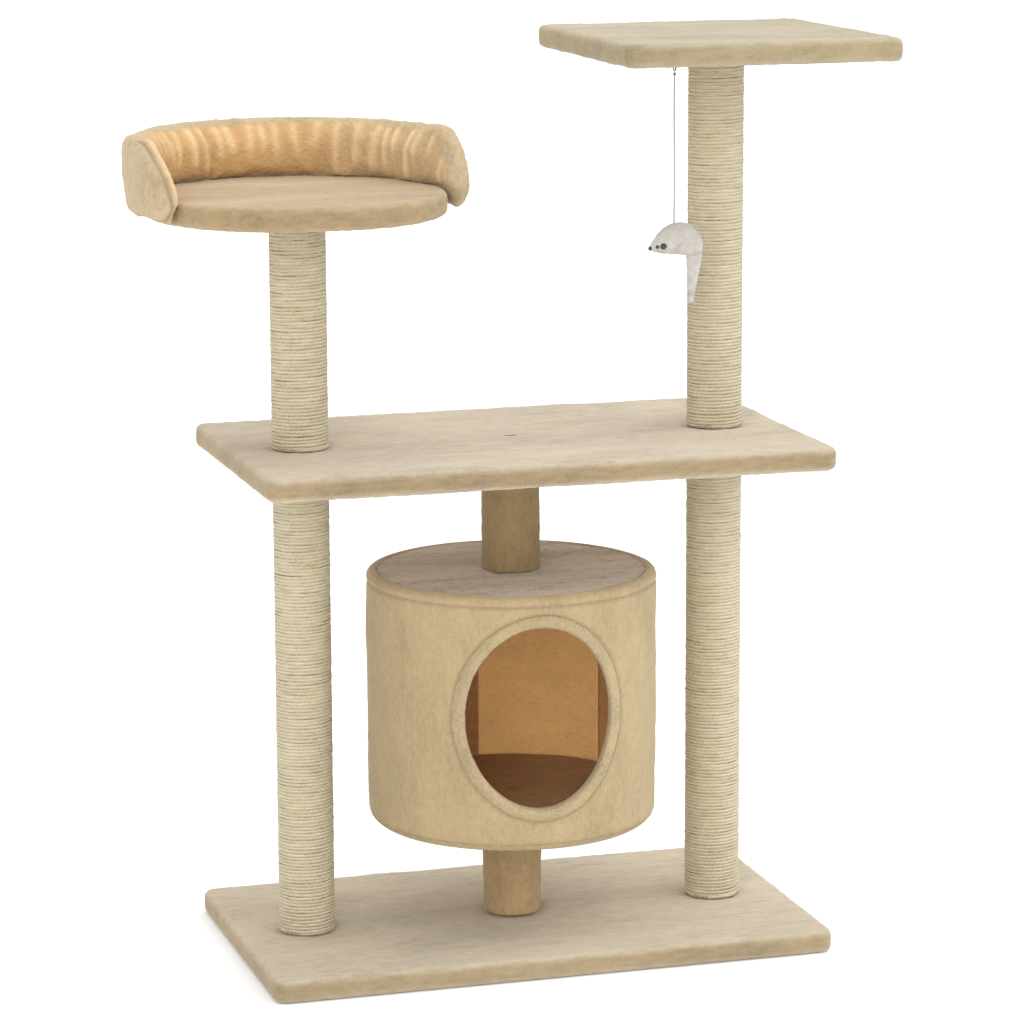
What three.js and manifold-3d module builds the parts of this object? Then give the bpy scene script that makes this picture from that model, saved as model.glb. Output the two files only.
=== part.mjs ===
// Cat tree: a plush base, sisal posts, a round condo, a middle shelf, a bolstered bed,
// a top platform and a toy mouse on a string. Millimetres, +Z up. The origin is on the
// floor, in the middle of the object's box seen from above.
import * as THREE from 'three';
import { mergeVertices } from 'three/addons/utils/BufferGeometryUtils.js';
import Module from 'manifold-3d';

// Boards and coverings
const boardThickness = 18;
const plushThickness = 2.7;
const fitGap = 0.3;
const plateEdgeRounding = 3;

// Base, middle shelf and top platform
const baseWidth = 600;
const baseDepth = 352;
const shelfWidth = 598;
const shelfDepth = 352;
const plateCornerRadius = 14;
const platformWidth = 296;
const platformDepth = 316;
const platformCornerRadius = 12;

// Posts
const postSpacing = 450;
const lowerPostLength = 489;
const upperLeftPostLength = 239;
const upperRightPostLength = 390;
const tubeRadius = 25;
const tubeWall = 2.5;
const sisalThickness = 3.9;
const shortPostPlushThickness = 5.8;
const plugLength = 20;

// Condo
const condoRadius = 152;
const condoHeight = 262;
const lowerShortPostLength = 109;
const condoShellThickness = 4;
const openingHalfWidth = 76;
const openingSill = 41;
const openingLintel = 31;
const openingTurn = THREE.MathUtils.degToRad(-4.6);
const hemWidth = 11.7;
const hemLip = 1.7;
const hemProud = 1;
const backGapStart = THREE.MathUtils.degToRad(2);
const backGapEnd = THREE.MathUtils.degToRad(57);

// Bed
const bedPlateRadius = 153;
const bolsterOverhang = 23;
const bolsterInset = 7;
const bolsterHeight = 83;
const bolsterEndHeight = 14;
const bolsterTurn = THREE.MathUtils.degToRad(10);
const bolsterFrontAngle = THREE.MathUtils.degToRad(70);
const bolsterCrestAngle = THREE.MathUtils.degToRad(93);

// Fasteners
const boltRadius = 4;
const boltFlangeRadius = 11;
const boltFlangeThickness = 3;
const boltSocketRadius = 2.9;
const boltSocketDepth = 1.8;
const studFlangeRadius = 15;
const studFlangeThickness = 2;
const slitLength = 14;
const slitWidth = 3;

// Toy
const toyAnchorFromPost = new THREE.Vector2(-73, -80);
const stapleWireRadius = 0.8;
const stapleHalfSpan = 5;
const stapleDrop = 5;
const stapleLegDepth = 9;
const stringRadius = 0.9;
const loopRadius = 3.1;
const mouseYaw = THREE.MathUtils.degToRad(8);
const mouseLength = 57;
const mouseRadius = 17.4;
const mouseWidthRatio = 0.84;
const mouseArch = 8.4;
const eyeRadius = 3.4;
const noseRadius = 2.3;
const tailLength = 59;
const tailWidth = 18.3;
const tailThickness = 5;

// String route below the staple loop: sideways wander and drop, from the loop to the mouse.
const stringRoute = [
  [0, 0, 0], [0.1, 0, -9], [0.2, 0.1, -19], [0.3, 0.1, -30], [0.3, 0.2, -41], [0.2, 0.2, -52],
  [0.1, 0.2, -63], [0, 0.1, -74], [-0.1, 0, -85], [-0.2, 0, -96], [-0.3, -0.1, -107],
  [-0.2, -0.1, -118], [-0.1, -0.1, -129], [0, 0, -139], [0, 0, -147], [0, 0, -154],
];

const roundSteps = 24;
const condoSteps = 48;
const bolsterSteps = 40;
const boreSteps = 12;
const openingSteps = 14;
const cornerSteps = 2;

// Derived sizes
const openingHalfHeight = (condoHeight - openingSill - openingLintel) / 2;
const openingCentreHeight = openingSill + openingHalfHeight;
const bolsterOuterRadius = bedPlateRadius + bolsterOverhang;
const bolsterInnerRadius = bedPlateRadius - bolsterInset;
const plateThickness = boardThickness + 2 * (plushThickness + fitGap);
const shelfZ = plateThickness + lowerPostLength;
const shelfTop = shelfZ + plateThickness;
const bedZ = shelfTop + upperLeftPostLength;
const platformZ = shelfTop + upperRightPostLength;
const condoZ = plateThickness + lowerShortPostLength;
const condoTop = condoZ + condoHeight;
const postX = postSpacing / 2;
const leftmost = -Math.max(postX + bolsterOuterRadius, baseWidth / 2, shelfWidth / 2);
const rightmost = Math.max(postX + platformWidth / 2, baseWidth / 2, shelfWidth / 2);

const colours = {
  plush: 0xe3cfa2,
  plushFold: 0xe0b878,
  plushShade: 0xcdb487,
  sisal: 0xe6d8ab,
  board: 0xb98d5a,
  hardboard: 0x8a5a2c,
  tube: 0xb59a72,
  plastic: 0x2a2a2c,
  steel: 0xb8bcc2,
  string: 0xe4e2dc,
  mouse: 0xe9e4da,
  bead: 0x101010,
};

function finish(colour, roughness = 0.95, metalness = 0) {
  return new THREE.MeshStandardMaterial({ color: colour, roughness, metalness });
}

const wasm = await Module();
wasm.setup();

// A closed geometry as a manifold solid.
function solid(geometry) {
  const bare = geometry.clone();
  for (const name of Object.keys(bare.attributes)) {
    if (name !== 'position') bare.deleteAttribute(name);
  }
  const merged = mergeVertices(bare, 1e-3);
  return new wasm.Manifold(new wasm.Mesh({
    numProp: 3,
    vertProperties: merged.attributes.position.array,
    triVerts: new Uint32Array(merged.index.array),
  }));
}

function geometryOf(body) {
  const mesh = body.getMesh();
  const geometry = new THREE.BufferGeometry();
  geometry.setAttribute('position', new THREE.BufferAttribute(mesh.vertProperties, 3));
  geometry.setIndex(new THREE.BufferAttribute(mesh.triVerts, 1));
  return geometry;
}

function cut(geometry, cutters) {
  return geometryOf(cutters.reduce((body, cutter) => body.subtract(solid(cutter)), solid(geometry)));
}

// A turned body about +Z from [radius, height] points, anticlockwise on the half plane.
function turned(profile, steps = roundSteps) {
  return new THREE.LatheGeometry(profile.map(([r, z]) => new THREE.Vector2(r, z)), steps)
    .rotateX(Math.PI / 2);
}

function disc(radius, z0, z1, steps = roundSteps) {
  return turned([[0, z0], [radius, z0], [radius, z1], [0, z1]], steps);
}

function sleeve(innerRadius, outerRadius, z0, z1, steps = roundSteps) {
  const corners = [[innerRadius, z0], [outerRadius, z0], [outerRadius, z1], [innerRadius, z1]];
  return turned([...corners, corners[0]], steps);
}

function bore(x, y, radius, z0, z1) {
  return disc(radius, z0, z1, boreSteps).translate(x, y, 0);
}

// Outlines are functions of how far they are drawn in from the full size.
function rectangle(width, depth, cornerRadius) {
  return (inset) => {
    const x = width / 2 - inset;
    const y = depth / 2 - inset;
    const r = Math.max(cornerRadius - inset, 1);
    const shape = new THREE.Shape();
    shape.absarc(x - r, y - r, r, 0, Math.PI / 2);
    shape.absarc(-x + r, y - r, r, Math.PI / 2, Math.PI);
    shape.absarc(-x + r, -y + r, r, Math.PI, 1.5 * Math.PI);
    shape.absarc(x - r, -y + r, r, 1.5 * Math.PI, 2 * Math.PI);
    return shape;
  };
}

function circle(radius) {
  return (inset) => new THREE.Shape().absarc(0, 0, radius - inset, 0, 2 * Math.PI);
}

function slab(outline, inset, z0, z1, steps, rounding = 0) {
  return new THREE.ExtrudeGeometry(outline(inset + rounding), {
    depth: z1 - z0 - 2 * rounding,
    curveSegments: steps,
    bevelEnabled: rounding > 0,
    bevelThickness: rounding,
    bevelSize: rounding,
    bevelSegments: 1,
  }).translate(0, 0, z0 + rounding);
}

const root = new THREE.Group();
root.position.x = -(leftmost + rightmost) / 2;

function add(parent, name, geometry, material) {
  const mesh = new THREE.Mesh(geometry, material);
  mesh.name = name;
  parent.add(mesh);
  return mesh;
}

function level(x, z) {
  const group = new THREE.Group();
  group.position.set(x, 0, z);
  root.add(group);
  return group;
}

// A board in its plush cover, both bored by the given cutters. Its underside is at z = 0.
function plate(parent, name, outline, steps, boardCutters, coverCutters) {
  const boardInset = plushThickness + fitGap;
  const board = slab(outline, boardInset, boardInset, plateThickness - boardInset, steps);
  add(parent, `${name}_board`, cut(board, boardCutters), finish(colours.board));
  const skin = slab(outline, 0, 0, plateThickness, steps, plateEdgeRounding);
  const hollow = slab(outline, plushThickness, plushThickness,
    plateThickness - plushThickness, steps);
  add(parent, `${name}_cover`, cut(skin, [hollow, ...coverCutters]), finish(colours.plush));
}

// Cutters
const boltHoleRadius = boltRadius + 1;
const flangeHoleRadius = boltFlangeRadius + 1;
const boardBottom = plushThickness + fitGap;
const boardTop = boardBottom + boardThickness;
const flangeRecess = boltFlangeThickness + fitGap;

function through(x) {
  return bore(x, 0, boltHoleRadius, -1, plateThickness + 1);
}

function slit(x, z0, z1) {
  return new THREE.BoxGeometry(slitLength, slitWidth, z1 - z0).translate(x, 0, (z0 + z1) / 2);
}

// A flanged bolt standing on its head, head underside at z = 0, with a round drive socket.
function bolt(length) {
  return turned([
    [0, boltSocketDepth], [boltSocketRadius, boltSocketDepth], [boltSocketRadius, 0],
    [boltFlangeRadius, 0], [boltFlangeRadius, boltFlangeThickness],
    [boltRadius, boltFlangeThickness], [boltRadius, length], [0, length],
  ], boreSteps);
}

// A post: a tube with a plug in each end and a sleeve round it, between z = 0 and its length.
function post(x, z, name, sleeveName, length, sleeveThickness, sleeveColour) {
  const group = level(x, z + fitGap);
  const height = length - 2 * fitGap;
  const tubeInner = tubeRadius - tubeWall;
  const sleeveInner = tubeRadius + fitGap;
  add(group, `${name}_tube`, sleeve(tubeInner, tubeRadius, 0, height), finish(colours.tube));
  add(group, `${name}_${sleeveName}`,
    sleeve(sleeveInner, sleeveInner + sleeveThickness, 0, height), finish(sleeveColour));
  const plugs = [['bottom', 0], ['top', height - plugLength]];
  for (const [end, plugZ] of plugs) {
    add(group, `${name}_${end}_plug`,
      sleeve(boltRadius + fitGap, tubeInner - fitGap, plugZ, plugZ + plugLength, boreSteps),
      finish(colours.plastic, 0.5));
  }
}

// Base, with the heads of its bolts sunk in the underside
const base = level(0, 0);
const baseBolts = [['left', -postX], ['middle', 0], ['right', postX]];
plate(base, 'base', rectangle(baseWidth, baseDepth, plateCornerRadius), cornerSteps,
  baseBolts.flatMap(([, x]) => [
    through(x), bore(x, 0, flangeHoleRadius, 0, boardBottom + flangeRecess),
  ]),
  baseBolts.flatMap(([, x]) => [
    through(x), bore(x, 0, flangeHoleRadius, -1, boardBottom),
  ]));
const baseBoltLength = boardThickness + plushThickness + plugLength;
for (const [side, x] of baseBolts) {
  add(base, `base_bolt_${side}`, bolt(baseBoltLength).translate(x, 0, boardBottom),
    finish(colours.steel, 0.35, 1));
}

// Posts
for (const [side, x, upperLength] of [
  ['left', -postX, upperLeftPostLength], ['right', postX, upperRightPostLength],
]) {
  post(x, plateThickness, `lower_${side}_post`, 'sisal', lowerPostLength, sisalThickness,
    colours.sisal);
  post(x, shelfTop, `upper_${side}_post`, 'sisal', upperLength, sisalThickness, colours.sisal);
}
post(0, plateThickness, 'condo_lower_post', 'plush', lowerShortPostLength,
  shortPostPlushThickness, colours.plushShade);
post(0, condoTop, 'condo_upper_post', 'plush', shelfZ - condoTop,
  shortPostPlushThickness, colours.plushShade);

// Middle shelf, joined to the posts above and below by studs, and to the condo by a bolt
const shelf = level(0, shelfZ);
plate(shelf, 'shelf', rectangle(shelfWidth, shelfDepth, plateCornerRadius), cornerSteps,
  [through(-postX), through(0), through(postX),
    bore(0, 0, flangeHoleRadius, boardTop - flangeRecess, plateThickness)],
  [through(-postX), through(postX), bore(0, 0, boltHoleRadius, -1, boardTop),
    slit(0, boardTop, plateThickness + 1)]);
const studReach = plugLength - 1;
for (const [side, x] of [['left', -postX], ['right', postX]]) {
  add(shelf, `shelf_stud_${side}`, bore(x, 0, boltRadius, -studReach, plateThickness + studReach),
    finish(colours.steel, 0.35, 1));
}
add(shelf, 'shelf_bolt_middle',
  bolt(boardTop + studReach).rotateX(Math.PI).translate(0, 0, boardTop),
  finish(colours.steel, 0.35, 1));

// Condo: boards, rolled shell with a gap at its back, plush skins and hemmed opening
const condo = level(0, condoZ);
const shellOuter = condoRadius - plushThickness - fitGap;
const shellInner = shellOuter - condoShellThickness;
const condoBoardRadius = shellInner - fitGap;
const wallBottom = plushThickness + fitGap;
const wallTop = condoHeight - plushThickness - fitGap;
const floorBoardTop = wallBottom + boardThickness;
const roofBoardBottom = wallTop - boardThickness;

// An oval bar through the front wall, wider than the opening by the given margin.
function openingBar(margin) {
  const oval = new THREE.Shape().absellipse(0, 0, openingHalfWidth + margin,
    openingHalfHeight + margin, 0, 2 * Math.PI);
  return new THREE.ExtrudeGeometry(oval,
    { depth: 2 * condoRadius, bevelEnabled: false, curveSegments: openingSteps })
    .rotateX(Math.PI / 2)
    .rotateZ(openingTurn)
    .translate(0, 0, openingCentreHeight);
}

// A wedge about the Z axis between two angles measured from +Y towards +X.
function wedge(start, end) {
  const reach = 2 * condoRadius;
  const sector = new THREE.Shape();
  sector.moveTo(0, 0);
  sector.lineTo(reach * Math.sin(end), reach * Math.cos(end));
  sector.lineTo(reach * Math.sin(start), reach * Math.cos(start));
  return new THREE.ExtrudeGeometry(sector, { depth: 2 * condoHeight, bevelEnabled: false })
    .translate(0, 0, -condoHeight / 2);
}

const condoBoltHole = bore(0, 0, boltHoleRadius, -1, condoHeight + 1);
add(condo, 'condo_bottom_cover',
  cut(disc(condoRadius, 0, plushThickness, condoSteps), [condoBoltHole]), finish(colours.plush));
add(condo, 'condo_floor_board', cut(disc(condoBoardRadius, wallBottom, floorBoardTop, condoSteps),
  [condoBoltHole, bore(0, 0, flangeHoleRadius, floorBoardTop - flangeRecess, condoHeight)]),
finish(colours.board));
const floorCoverBottom = floorBoardTop + fitGap;
const floorCoverTop = floorCoverBottom + plushThickness;
add(condo, 'condo_floor_cover',
  cut(disc(condoBoardRadius, floorCoverBottom, floorCoverTop, condoSteps),
    [slit(0, 0, condoHeight)]), finish(colours.plushShade));
add(condo, 'condo_roof_board', cut(disc(condoBoardRadius, roofBoardBottom, wallTop, condoSteps),
  [condoBoltHole, bore(0, 0, flangeHoleRadius, 0, roofBoardBottom + flangeRecess)]),
finish(colours.board));
add(condo, 'condo_roof_cover', cut(disc(condoRadius, wallTop + fitGap, condoHeight, condoSteps),
  [condoBoltHole]), finish(colours.plush));
add(condo, 'condo_wall_shell', cut(sleeve(shellInner, shellOuter, wallBottom, wallTop, condoSteps),
  [openingBar(hemLip + fitGap), wedge(backGapStart, backGapEnd)]), finish(colours.hardboard));
add(condo, 'condo_wall_cover',
  cut(sleeve(condoRadius - plushThickness, condoRadius, wallBottom, wallTop, condoSteps),
    [openingBar(hemWidth + fitGap)]), finish(colours.plush));
const panelClearance = 2 * fitGap / shellOuter;
const panelWedge = solid(wedge(backGapStart + panelClearance, backGapEnd - panelClearance));
const panelTube = solid(sleeve(shellInner, shellOuter, floorCoverTop + fitGap,
  roofBoardBottom - fitGap, condoSteps));
add(condo, 'condo_back_panel', geometryOf(panelTube.intersect(panelWedge)),
  finish(colours.plushFold));

// The hem lies on the shell round the opening, and its lip lines the cut edge of the shell.
const hemOuter = condoRadius + hemProud;
const hemBand = solid(sleeve(shellOuter + fitGap, hemOuter, wallBottom, wallTop, condoSteps))
  .intersect(solid(openingBar(hemWidth)));
const hemEdge = solid(sleeve(shellInner - plushThickness, hemOuter, wallBottom, wallTop,
  condoSteps)).intersect(solid(openingBar(hemLip)));
add(condo, 'condo_opening_hem',
  geometryOf(hemBand.add(hemEdge).subtract(solid(openingBar(0)))), finish(colours.plush));

const condoBoltLength = boardThickness + plushThickness + studReach;
add(condo, 'condo_floor_bolt',
  bolt(condoBoltLength).rotateX(Math.PI).translate(0, 0, floorBoardTop),
  finish(colours.steel, 0.35, 1));
add(condo, 'condo_roof_bolt', bolt(condoBoltLength).translate(0, 0, roofBoardBottom),
  finish(colours.steel, 0.35, 1));

// A stud with a round flange let into the top of a plate's board, pointing down.
function flangedStud(x) {
  const top = boardTop;
  const shoulder = top - studFlangeThickness;
  return turned([[0, -studReach], [boltRadius, -studReach], [boltRadius, shoulder],
    [studFlangeRadius, shoulder], [studFlangeRadius, top], [0, top]], boreSteps)
    .translate(x, 0, 0);
}

const studFlangeRecess = bore(0, 0, studFlangeRadius + 1,
  boardTop - studFlangeThickness - fitGap, plateThickness);
const studHole = bore(0, 0, boltHoleRadius, -1, boardTop);

// Bed: round plate with a padded wall that wraps its edge and slopes down to the front
const bed = level(-postX, bedZ);
plate(bed, 'bed', circle(bedPlateRadius), bolsterSteps / 2, [studHole, studFlangeRecess],
  [studHole]);
add(bed, 'bed_stud', flangedStud(0), finish(colours.steel, 0.35, 1));
const flatsFactor = 1 / Math.cos(Math.PI / bolsterSteps);
const bolsterFoot = (bedPlateRadius + fitGap) * flatsFactor;
const bolsterShelf = plateThickness + fitGap;
const bolsterSection = [
  [bolsterFoot, 0], [bolsterOuterRadius - 9, 0], [bolsterOuterRadius - 2, 6],
  [bolsterOuterRadius, 20], [bolsterOuterRadius, bolsterHeight - 22],
  [bolsterOuterRadius - 4, bolsterHeight - 8], [bolsterOuterRadius - 11, bolsterHeight],
  [bolsterInnerRadius + 10, bolsterHeight], [bolsterInnerRadius + 3, bolsterHeight - 8],
  [bolsterInnerRadius, bolsterHeight - 22], [bolsterInnerRadius, bolsterShelf],
  [bolsterFoot, bolsterShelf],
];
const bolsterRing = turned([...bolsterSection, bolsterSection[0]], bolsterSteps);
// The front is cut away below and in front of a plane that rises from the ends to the crest.
const frontY = -bolsterOuterRadius * Math.cos(bolsterFrontAngle);
const crestY = -bolsterOuterRadius * Math.cos(bolsterCrestAngle);
const farY = -2 * bolsterOuterRadius;
const cutProfile = new THREE.Shape([
  [farY, -bolsterHeight], [frontY, -bolsterHeight], [frontY, bolsterEndHeight],
  [crestY, bolsterHeight], [crestY, 2 * bolsterHeight], [farY, 2 * bolsterHeight],
].map(([y, z]) => new THREE.Vector2(y, z)));
const frontCutter = new THREE.ExtrudeGeometry(cutProfile,
  { depth: 4 * bolsterOuterRadius, bevelEnabled: false })
  .translate(0, 0, -2 * bolsterOuterRadius)
  .rotateX(Math.PI / 2)
  .rotateZ(Math.PI / 2);
add(bed, 'bed_bolster', cut(bolsterRing, [frontCutter]), finish(colours.plush))
  .rotation.z = bolsterTurn;

// Top platform, with the staple of the toy in its underside
const platform = level(postX, platformZ);
const towardsPost = toyAnchorFromPost.clone().negate().normalize();
const toyAngle = Math.atan2(towardsPost.x, -towardsPost.y);
const stapleAlong = new THREE.Vector2(Math.cos(toyAngle), Math.sin(toyAngle));
const stapleHoles = [-1, 1].map((side) => bore(
  toyAnchorFromPost.x + side * stapleHalfSpan * stapleAlong.x,
  toyAnchorFromPost.y + side * stapleHalfSpan * stapleAlong.y,
  stapleWireRadius + 2 * fitGap, -1, stapleLegDepth + fitGap));
plate(platform, 'platform', rectangle(platformWidth, platformDepth, platformCornerRadius),
  cornerSteps, [studHole, studFlangeRecess, ...stapleHoles], [studHole, ...stapleHoles]);
add(platform, 'platform_stud', flangedStud(0), finish(colours.steel, 0.35, 1));

// Toy: its group's X runs along the staple's crown, and its Z = 0 is the platform's underside
const toy = new THREE.Group();
toy.position.set(toyAnchorFromPost.x, toyAnchorFromPost.y, 0);
toy.rotation.z = toyAngle;
platform.add(toy);

function circleShape(radius, steps) {
  const points = Array.from({ length: steps }, (_, i) => {
    const angle = 2 * Math.PI * i / steps;
    return new THREE.Vector2(radius * Math.cos(angle), radius * Math.sin(angle));
  });
  return new THREE.Shape(points);
}

function rod(points, radius, steps) {
  const path = new THREE.CatmullRomCurve3(points.map((p) => new THREE.Vector3(...p)));
  return new THREE.ExtrudeGeometry(circleShape(radius, 8),
    { extrudePath: path, steps, bevelEnabled: false });
}

const stapleShoulder = stapleHalfSpan - 0.8;
add(toy, 'toy_staple', rod([
  [-stapleHalfSpan, 0, stapleLegDepth], [-stapleHalfSpan, 0, 0],
  [-stapleShoulder, 0, 1 - stapleDrop], [0, 0, -stapleDrop], [stapleShoulder, 0, 1 - stapleDrop],
  [stapleHalfSpan, 0, 0], [stapleHalfSpan, 0, stapleLegDepth],
], stapleWireRadius, 24), finish(colours.steel, 0.35, 1));

// The string's loop hangs on the crown, and the string hangs from the bottom of the loop.
const loopInner = loopRadius - stringRadius;
const loopCentreZ = -stapleDrop + stapleWireRadius + fitGap - loopInner;
add(toy, 'toy_string_loop', new THREE.TorusGeometry(loopRadius, stringRadius, 8, 16)
  .rotateY(Math.PI / 2).translate(0, 0, loopCentreZ), finish(colours.string));
const stringTopZ = loopCentreZ - loopRadius - stringRadius - fitGap;
const stringLength = stringRoute[0][2] - stringRoute.at(-1)[2];
add(toy, 'toy_string',
  rod(stringRoute.map(([x, y, z]) => [x, y, stringTopZ + z]), stringRadius, 34),
  finish(colours.string));

// Mouse: its group's -X is the way it looks, and its Z = 0 is the top of its back at the string
const mouse = new THREE.Group();
mouse.position.set(0, 0, stringTopZ - stringLength - fitGap);
mouse.rotation.z = mouseYaw - toyAngle;
toy.add(mouse);

// Stations from nose to rear: [share of the greatest radius, share of the length]
const bodyStations = [
  [0, 0], [0.15, 0.018], [0.24, 0.05], [0.43, 0.11], [0.71, 0.22], [0.86, 0.35],
  [0.935, 0.46], [1, 0.61], [0.955, 0.74], [0.75, 0.86], [0.46, 0.95], [0, 1],
];
const stringStation = bodyStations[6];
const archAt = (x) => mouseArch * Math.sin(Math.PI * x / mouseLength);
const noseX = -stringStation[1] * mouseLength;
const noseZ = -stringStation[0] * mouseRadius - archAt(-noseX);

// The body is turned about its length, narrowed, and arched upwards between nose and rear.
function bodyShape(margin) {
  const profile = bodyStations.map(([radius, along]) => [
    radius * (mouseRadius + margin), along * (mouseLength + 2 * margin) - margin,
  ]);
  const body = turned(profile, 20).rotateY(Math.PI / 2).scale(1, mouseWidthRatio, 1);
  const place = body.attributes.position;
  for (let i = 0; i < place.count; i += 1) {
    place.setZ(i, place.getZ(i) + archAt(place.getX(i)));
  }
  return body.translate(noseX, 0, noseZ);
}

const eyeStation = [0.62, 0.19];
const eyeX = noseX + eyeStation[1] * mouseLength;
const eyeZ = noseZ + archAt(eyeStation[1] * mouseLength) - 0.6 * eyeRadius;
const eyeOut = eyeStation[0] * mouseRadius * mouseWidthRatio;
const ball = (radius) => new THREE.SphereGeometry(radius, 12, 8);
const eye = (side, radius) => ball(radius).translate(eyeX, side * eyeOut, eyeZ);
const nose = (radius) => ball(radius).translate(noseX + 0.4 * noseRadius, 0, noseZ);
add(mouse, 'mouse_body', cut(bodyShape(0),
  [eye(-1, eyeRadius + fitGap), eye(1, eyeRadius + fitGap), nose(noseRadius + fitGap)]),
finish(colours.mouse));
add(mouse, 'mouse_eye_right', eye(1, eyeRadius), finish(colours.bead, 0.1));
add(mouse, 'mouse_eye_left', eye(-1, eyeRadius), finish(colours.bead, 0.1));
add(mouse, 'mouse_nose', nose(noseRadius), finish(colours.bead, 0.15));

// Tail: a flat strip that hangs from the rear and narrows downwards, cut clear of the body
const rearX = noseX + mouseLength;
const tailBottomZ = noseZ - tailLength;
const tailOutline = new THREE.Shape([
  [rearX - tailWidth, noseZ - 12], [rearX - tailWidth + 1, noseZ - 6], [rearX - 1, noseZ - 6],
  [rearX - 3, noseZ - 21], [rearX - 6, noseZ - 34], [rearX - 9.5, tailBottomZ + 9],
  [rearX - 10.5, tailBottomZ], [rearX - 16, tailBottomZ], [rearX - 17.2, noseZ - 42],
].map(([x, z]) => new THREE.Vector2(x, z)));
const tail = new THREE.ExtrudeGeometry(tailOutline, { depth: tailThickness, bevelEnabled: false })
  .rotateX(Math.PI / 2).translate(0, tailThickness / 2, 0);
add(mouse, 'mouse_tail', cut(tail, [bodyShape(2 * fitGap)]), finish(colours.mouse));

export default root;
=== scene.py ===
"""Cat tree: plush, sisal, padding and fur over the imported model. Metres, +Z up."""
import math

import bmesh
import bpy
import numpy as np
from mathutils import Matrix, Vector


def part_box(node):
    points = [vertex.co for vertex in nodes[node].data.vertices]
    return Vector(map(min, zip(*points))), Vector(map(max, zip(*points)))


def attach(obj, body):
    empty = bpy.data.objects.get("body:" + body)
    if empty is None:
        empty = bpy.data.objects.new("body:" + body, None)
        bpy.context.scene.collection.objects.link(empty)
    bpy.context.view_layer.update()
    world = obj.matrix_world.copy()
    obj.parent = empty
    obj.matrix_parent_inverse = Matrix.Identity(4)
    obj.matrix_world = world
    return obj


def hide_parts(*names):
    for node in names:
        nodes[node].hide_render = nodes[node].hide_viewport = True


MM = 0.001
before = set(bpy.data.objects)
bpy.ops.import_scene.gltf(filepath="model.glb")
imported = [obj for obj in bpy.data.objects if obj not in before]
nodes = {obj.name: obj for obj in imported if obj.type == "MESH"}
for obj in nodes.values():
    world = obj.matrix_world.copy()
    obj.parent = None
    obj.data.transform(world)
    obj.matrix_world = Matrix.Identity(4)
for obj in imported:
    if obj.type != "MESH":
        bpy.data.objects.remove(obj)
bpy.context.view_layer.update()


def add_object(name, data):
    """An object with given data, linked to the scene."""
    obj = bpy.data.objects.new(name, data)
    bpy.context.scene.collection.objects.link(obj)
    return obj


# ---------------- camera

CAMERA_PLACE = (-1.1433, -3.8946, 1.2503)
CAMERA_TURN = math.radians(-16.57)
CAMERA_TILT = math.radians(11.07)
CAMERA_ROLL = math.radians(-0.24)
CAMERA_LENS = 139.1

camera_data = bpy.data.cameras.new("camera")
camera_data.lens = CAMERA_LENS
camera_data.sensor_width = 36
camera_data.clip_end = 200
camera = add_object("camera", camera_data)
camera.matrix_world = (
    Matrix.Translation(CAMERA_PLACE)
    @ Matrix.Rotation(CAMERA_TURN, 4, "Z")
    @ Matrix.Rotation(math.pi / 2 - CAMERA_TILT, 4, "X")
    @ Matrix.Rotation(CAMERA_ROLL, 4, "Z")
)
bpy.context.scene.camera = camera


# ---------------- geometry helpers

NOISE_OFFSET = 4096.0
HASH_X, HASH_Y, HASH_Z, HASH_SEED = 73856093, 19349663, 83492791, 50331653
HASH_MIX = 1274126177


def smooth_noise(points, cell, seed=0):
    """Smooth values from -1 to 1, in lumps about one cell across. A cell may differ by axis."""
    place = np.asarray(points, float) / np.asarray(cell, float) + NOISE_OFFSET
    corner = np.floor(place).astype(np.int64)
    blend = place - corner
    blend = blend * blend * (3 - 2 * blend)
    total = np.zeros(len(place))
    for step in np.ndindex(2, 2, 2):
        x, y, z = (corner + step).T
        mixed = (x * HASH_X) ^ (y * HASH_Y) ^ (z * HASH_Z) ^ (seed * HASH_SEED)
        mixed = ((mixed ^ (mixed >> 13)) * HASH_MIX) & 0xFFFFFFFF
        mixed = (mixed ^ (mixed >> 16)) & 0xFFFF
        weight = np.prod(np.where(step, blend, 1 - blend), axis=1)
        total += weight * (mixed / 32767.5 - 1)
    return total


def bump_at(distance, width):
    """A smooth bump of height 1 where distance is 0."""
    return np.exp(-(distance / width) ** 2)


def from_axis(points, x, y=0.0):
    """Each point's distance from an upright axis."""
    return np.hypot(points[:, 0] - x, points[:, 1] - y)


def soft_step(value, start, end):
    """Rises smoothly from 0 at start to 1 at end."""
    share = np.clip((value - start) / (end - start), 0, 1)
    return share * share * (3 - 2 * share)


def piece(name, points, faces, look):
    """A mesh object from points and lists of faces, its faces turned outwards."""
    mesh = bpy.data.meshes.new(name)
    mesh.from_pydata(np.asarray(points, float).reshape(-1, 3).tolist(), [], faces)
    obj = add_object(name, mesh)
    work = bmesh.new()
    work.from_mesh(mesh)
    bmesh.ops.recalc_face_normals(work, faces=work.faces)
    work.to_mesh(mesh)
    work.free()
    mesh.shade_smooth()
    if look:
        mesh.materials.append(look)
    return obj


def grid_faces(rows, columns, wrap_rows=False, wrap_columns=False, first=0):
    """Four-sided faces over a grid of points, listed row by row from the first index."""
    row, column = np.meshgrid(
        np.arange(rows if wrap_rows else rows - 1),
        np.arange(columns if wrap_columns else columns - 1),
        indexing="ij",
    )
    next_row = (row + 1) % rows
    next_column = (column + 1) % columns
    corners = [
        row * columns + column,
        row * columns + next_column,
        next_row * columns + next_column,
        next_row * columns + column,
    ]
    return (first + np.stack(corners, -1).reshape(-1, 4)).tolist()


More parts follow.
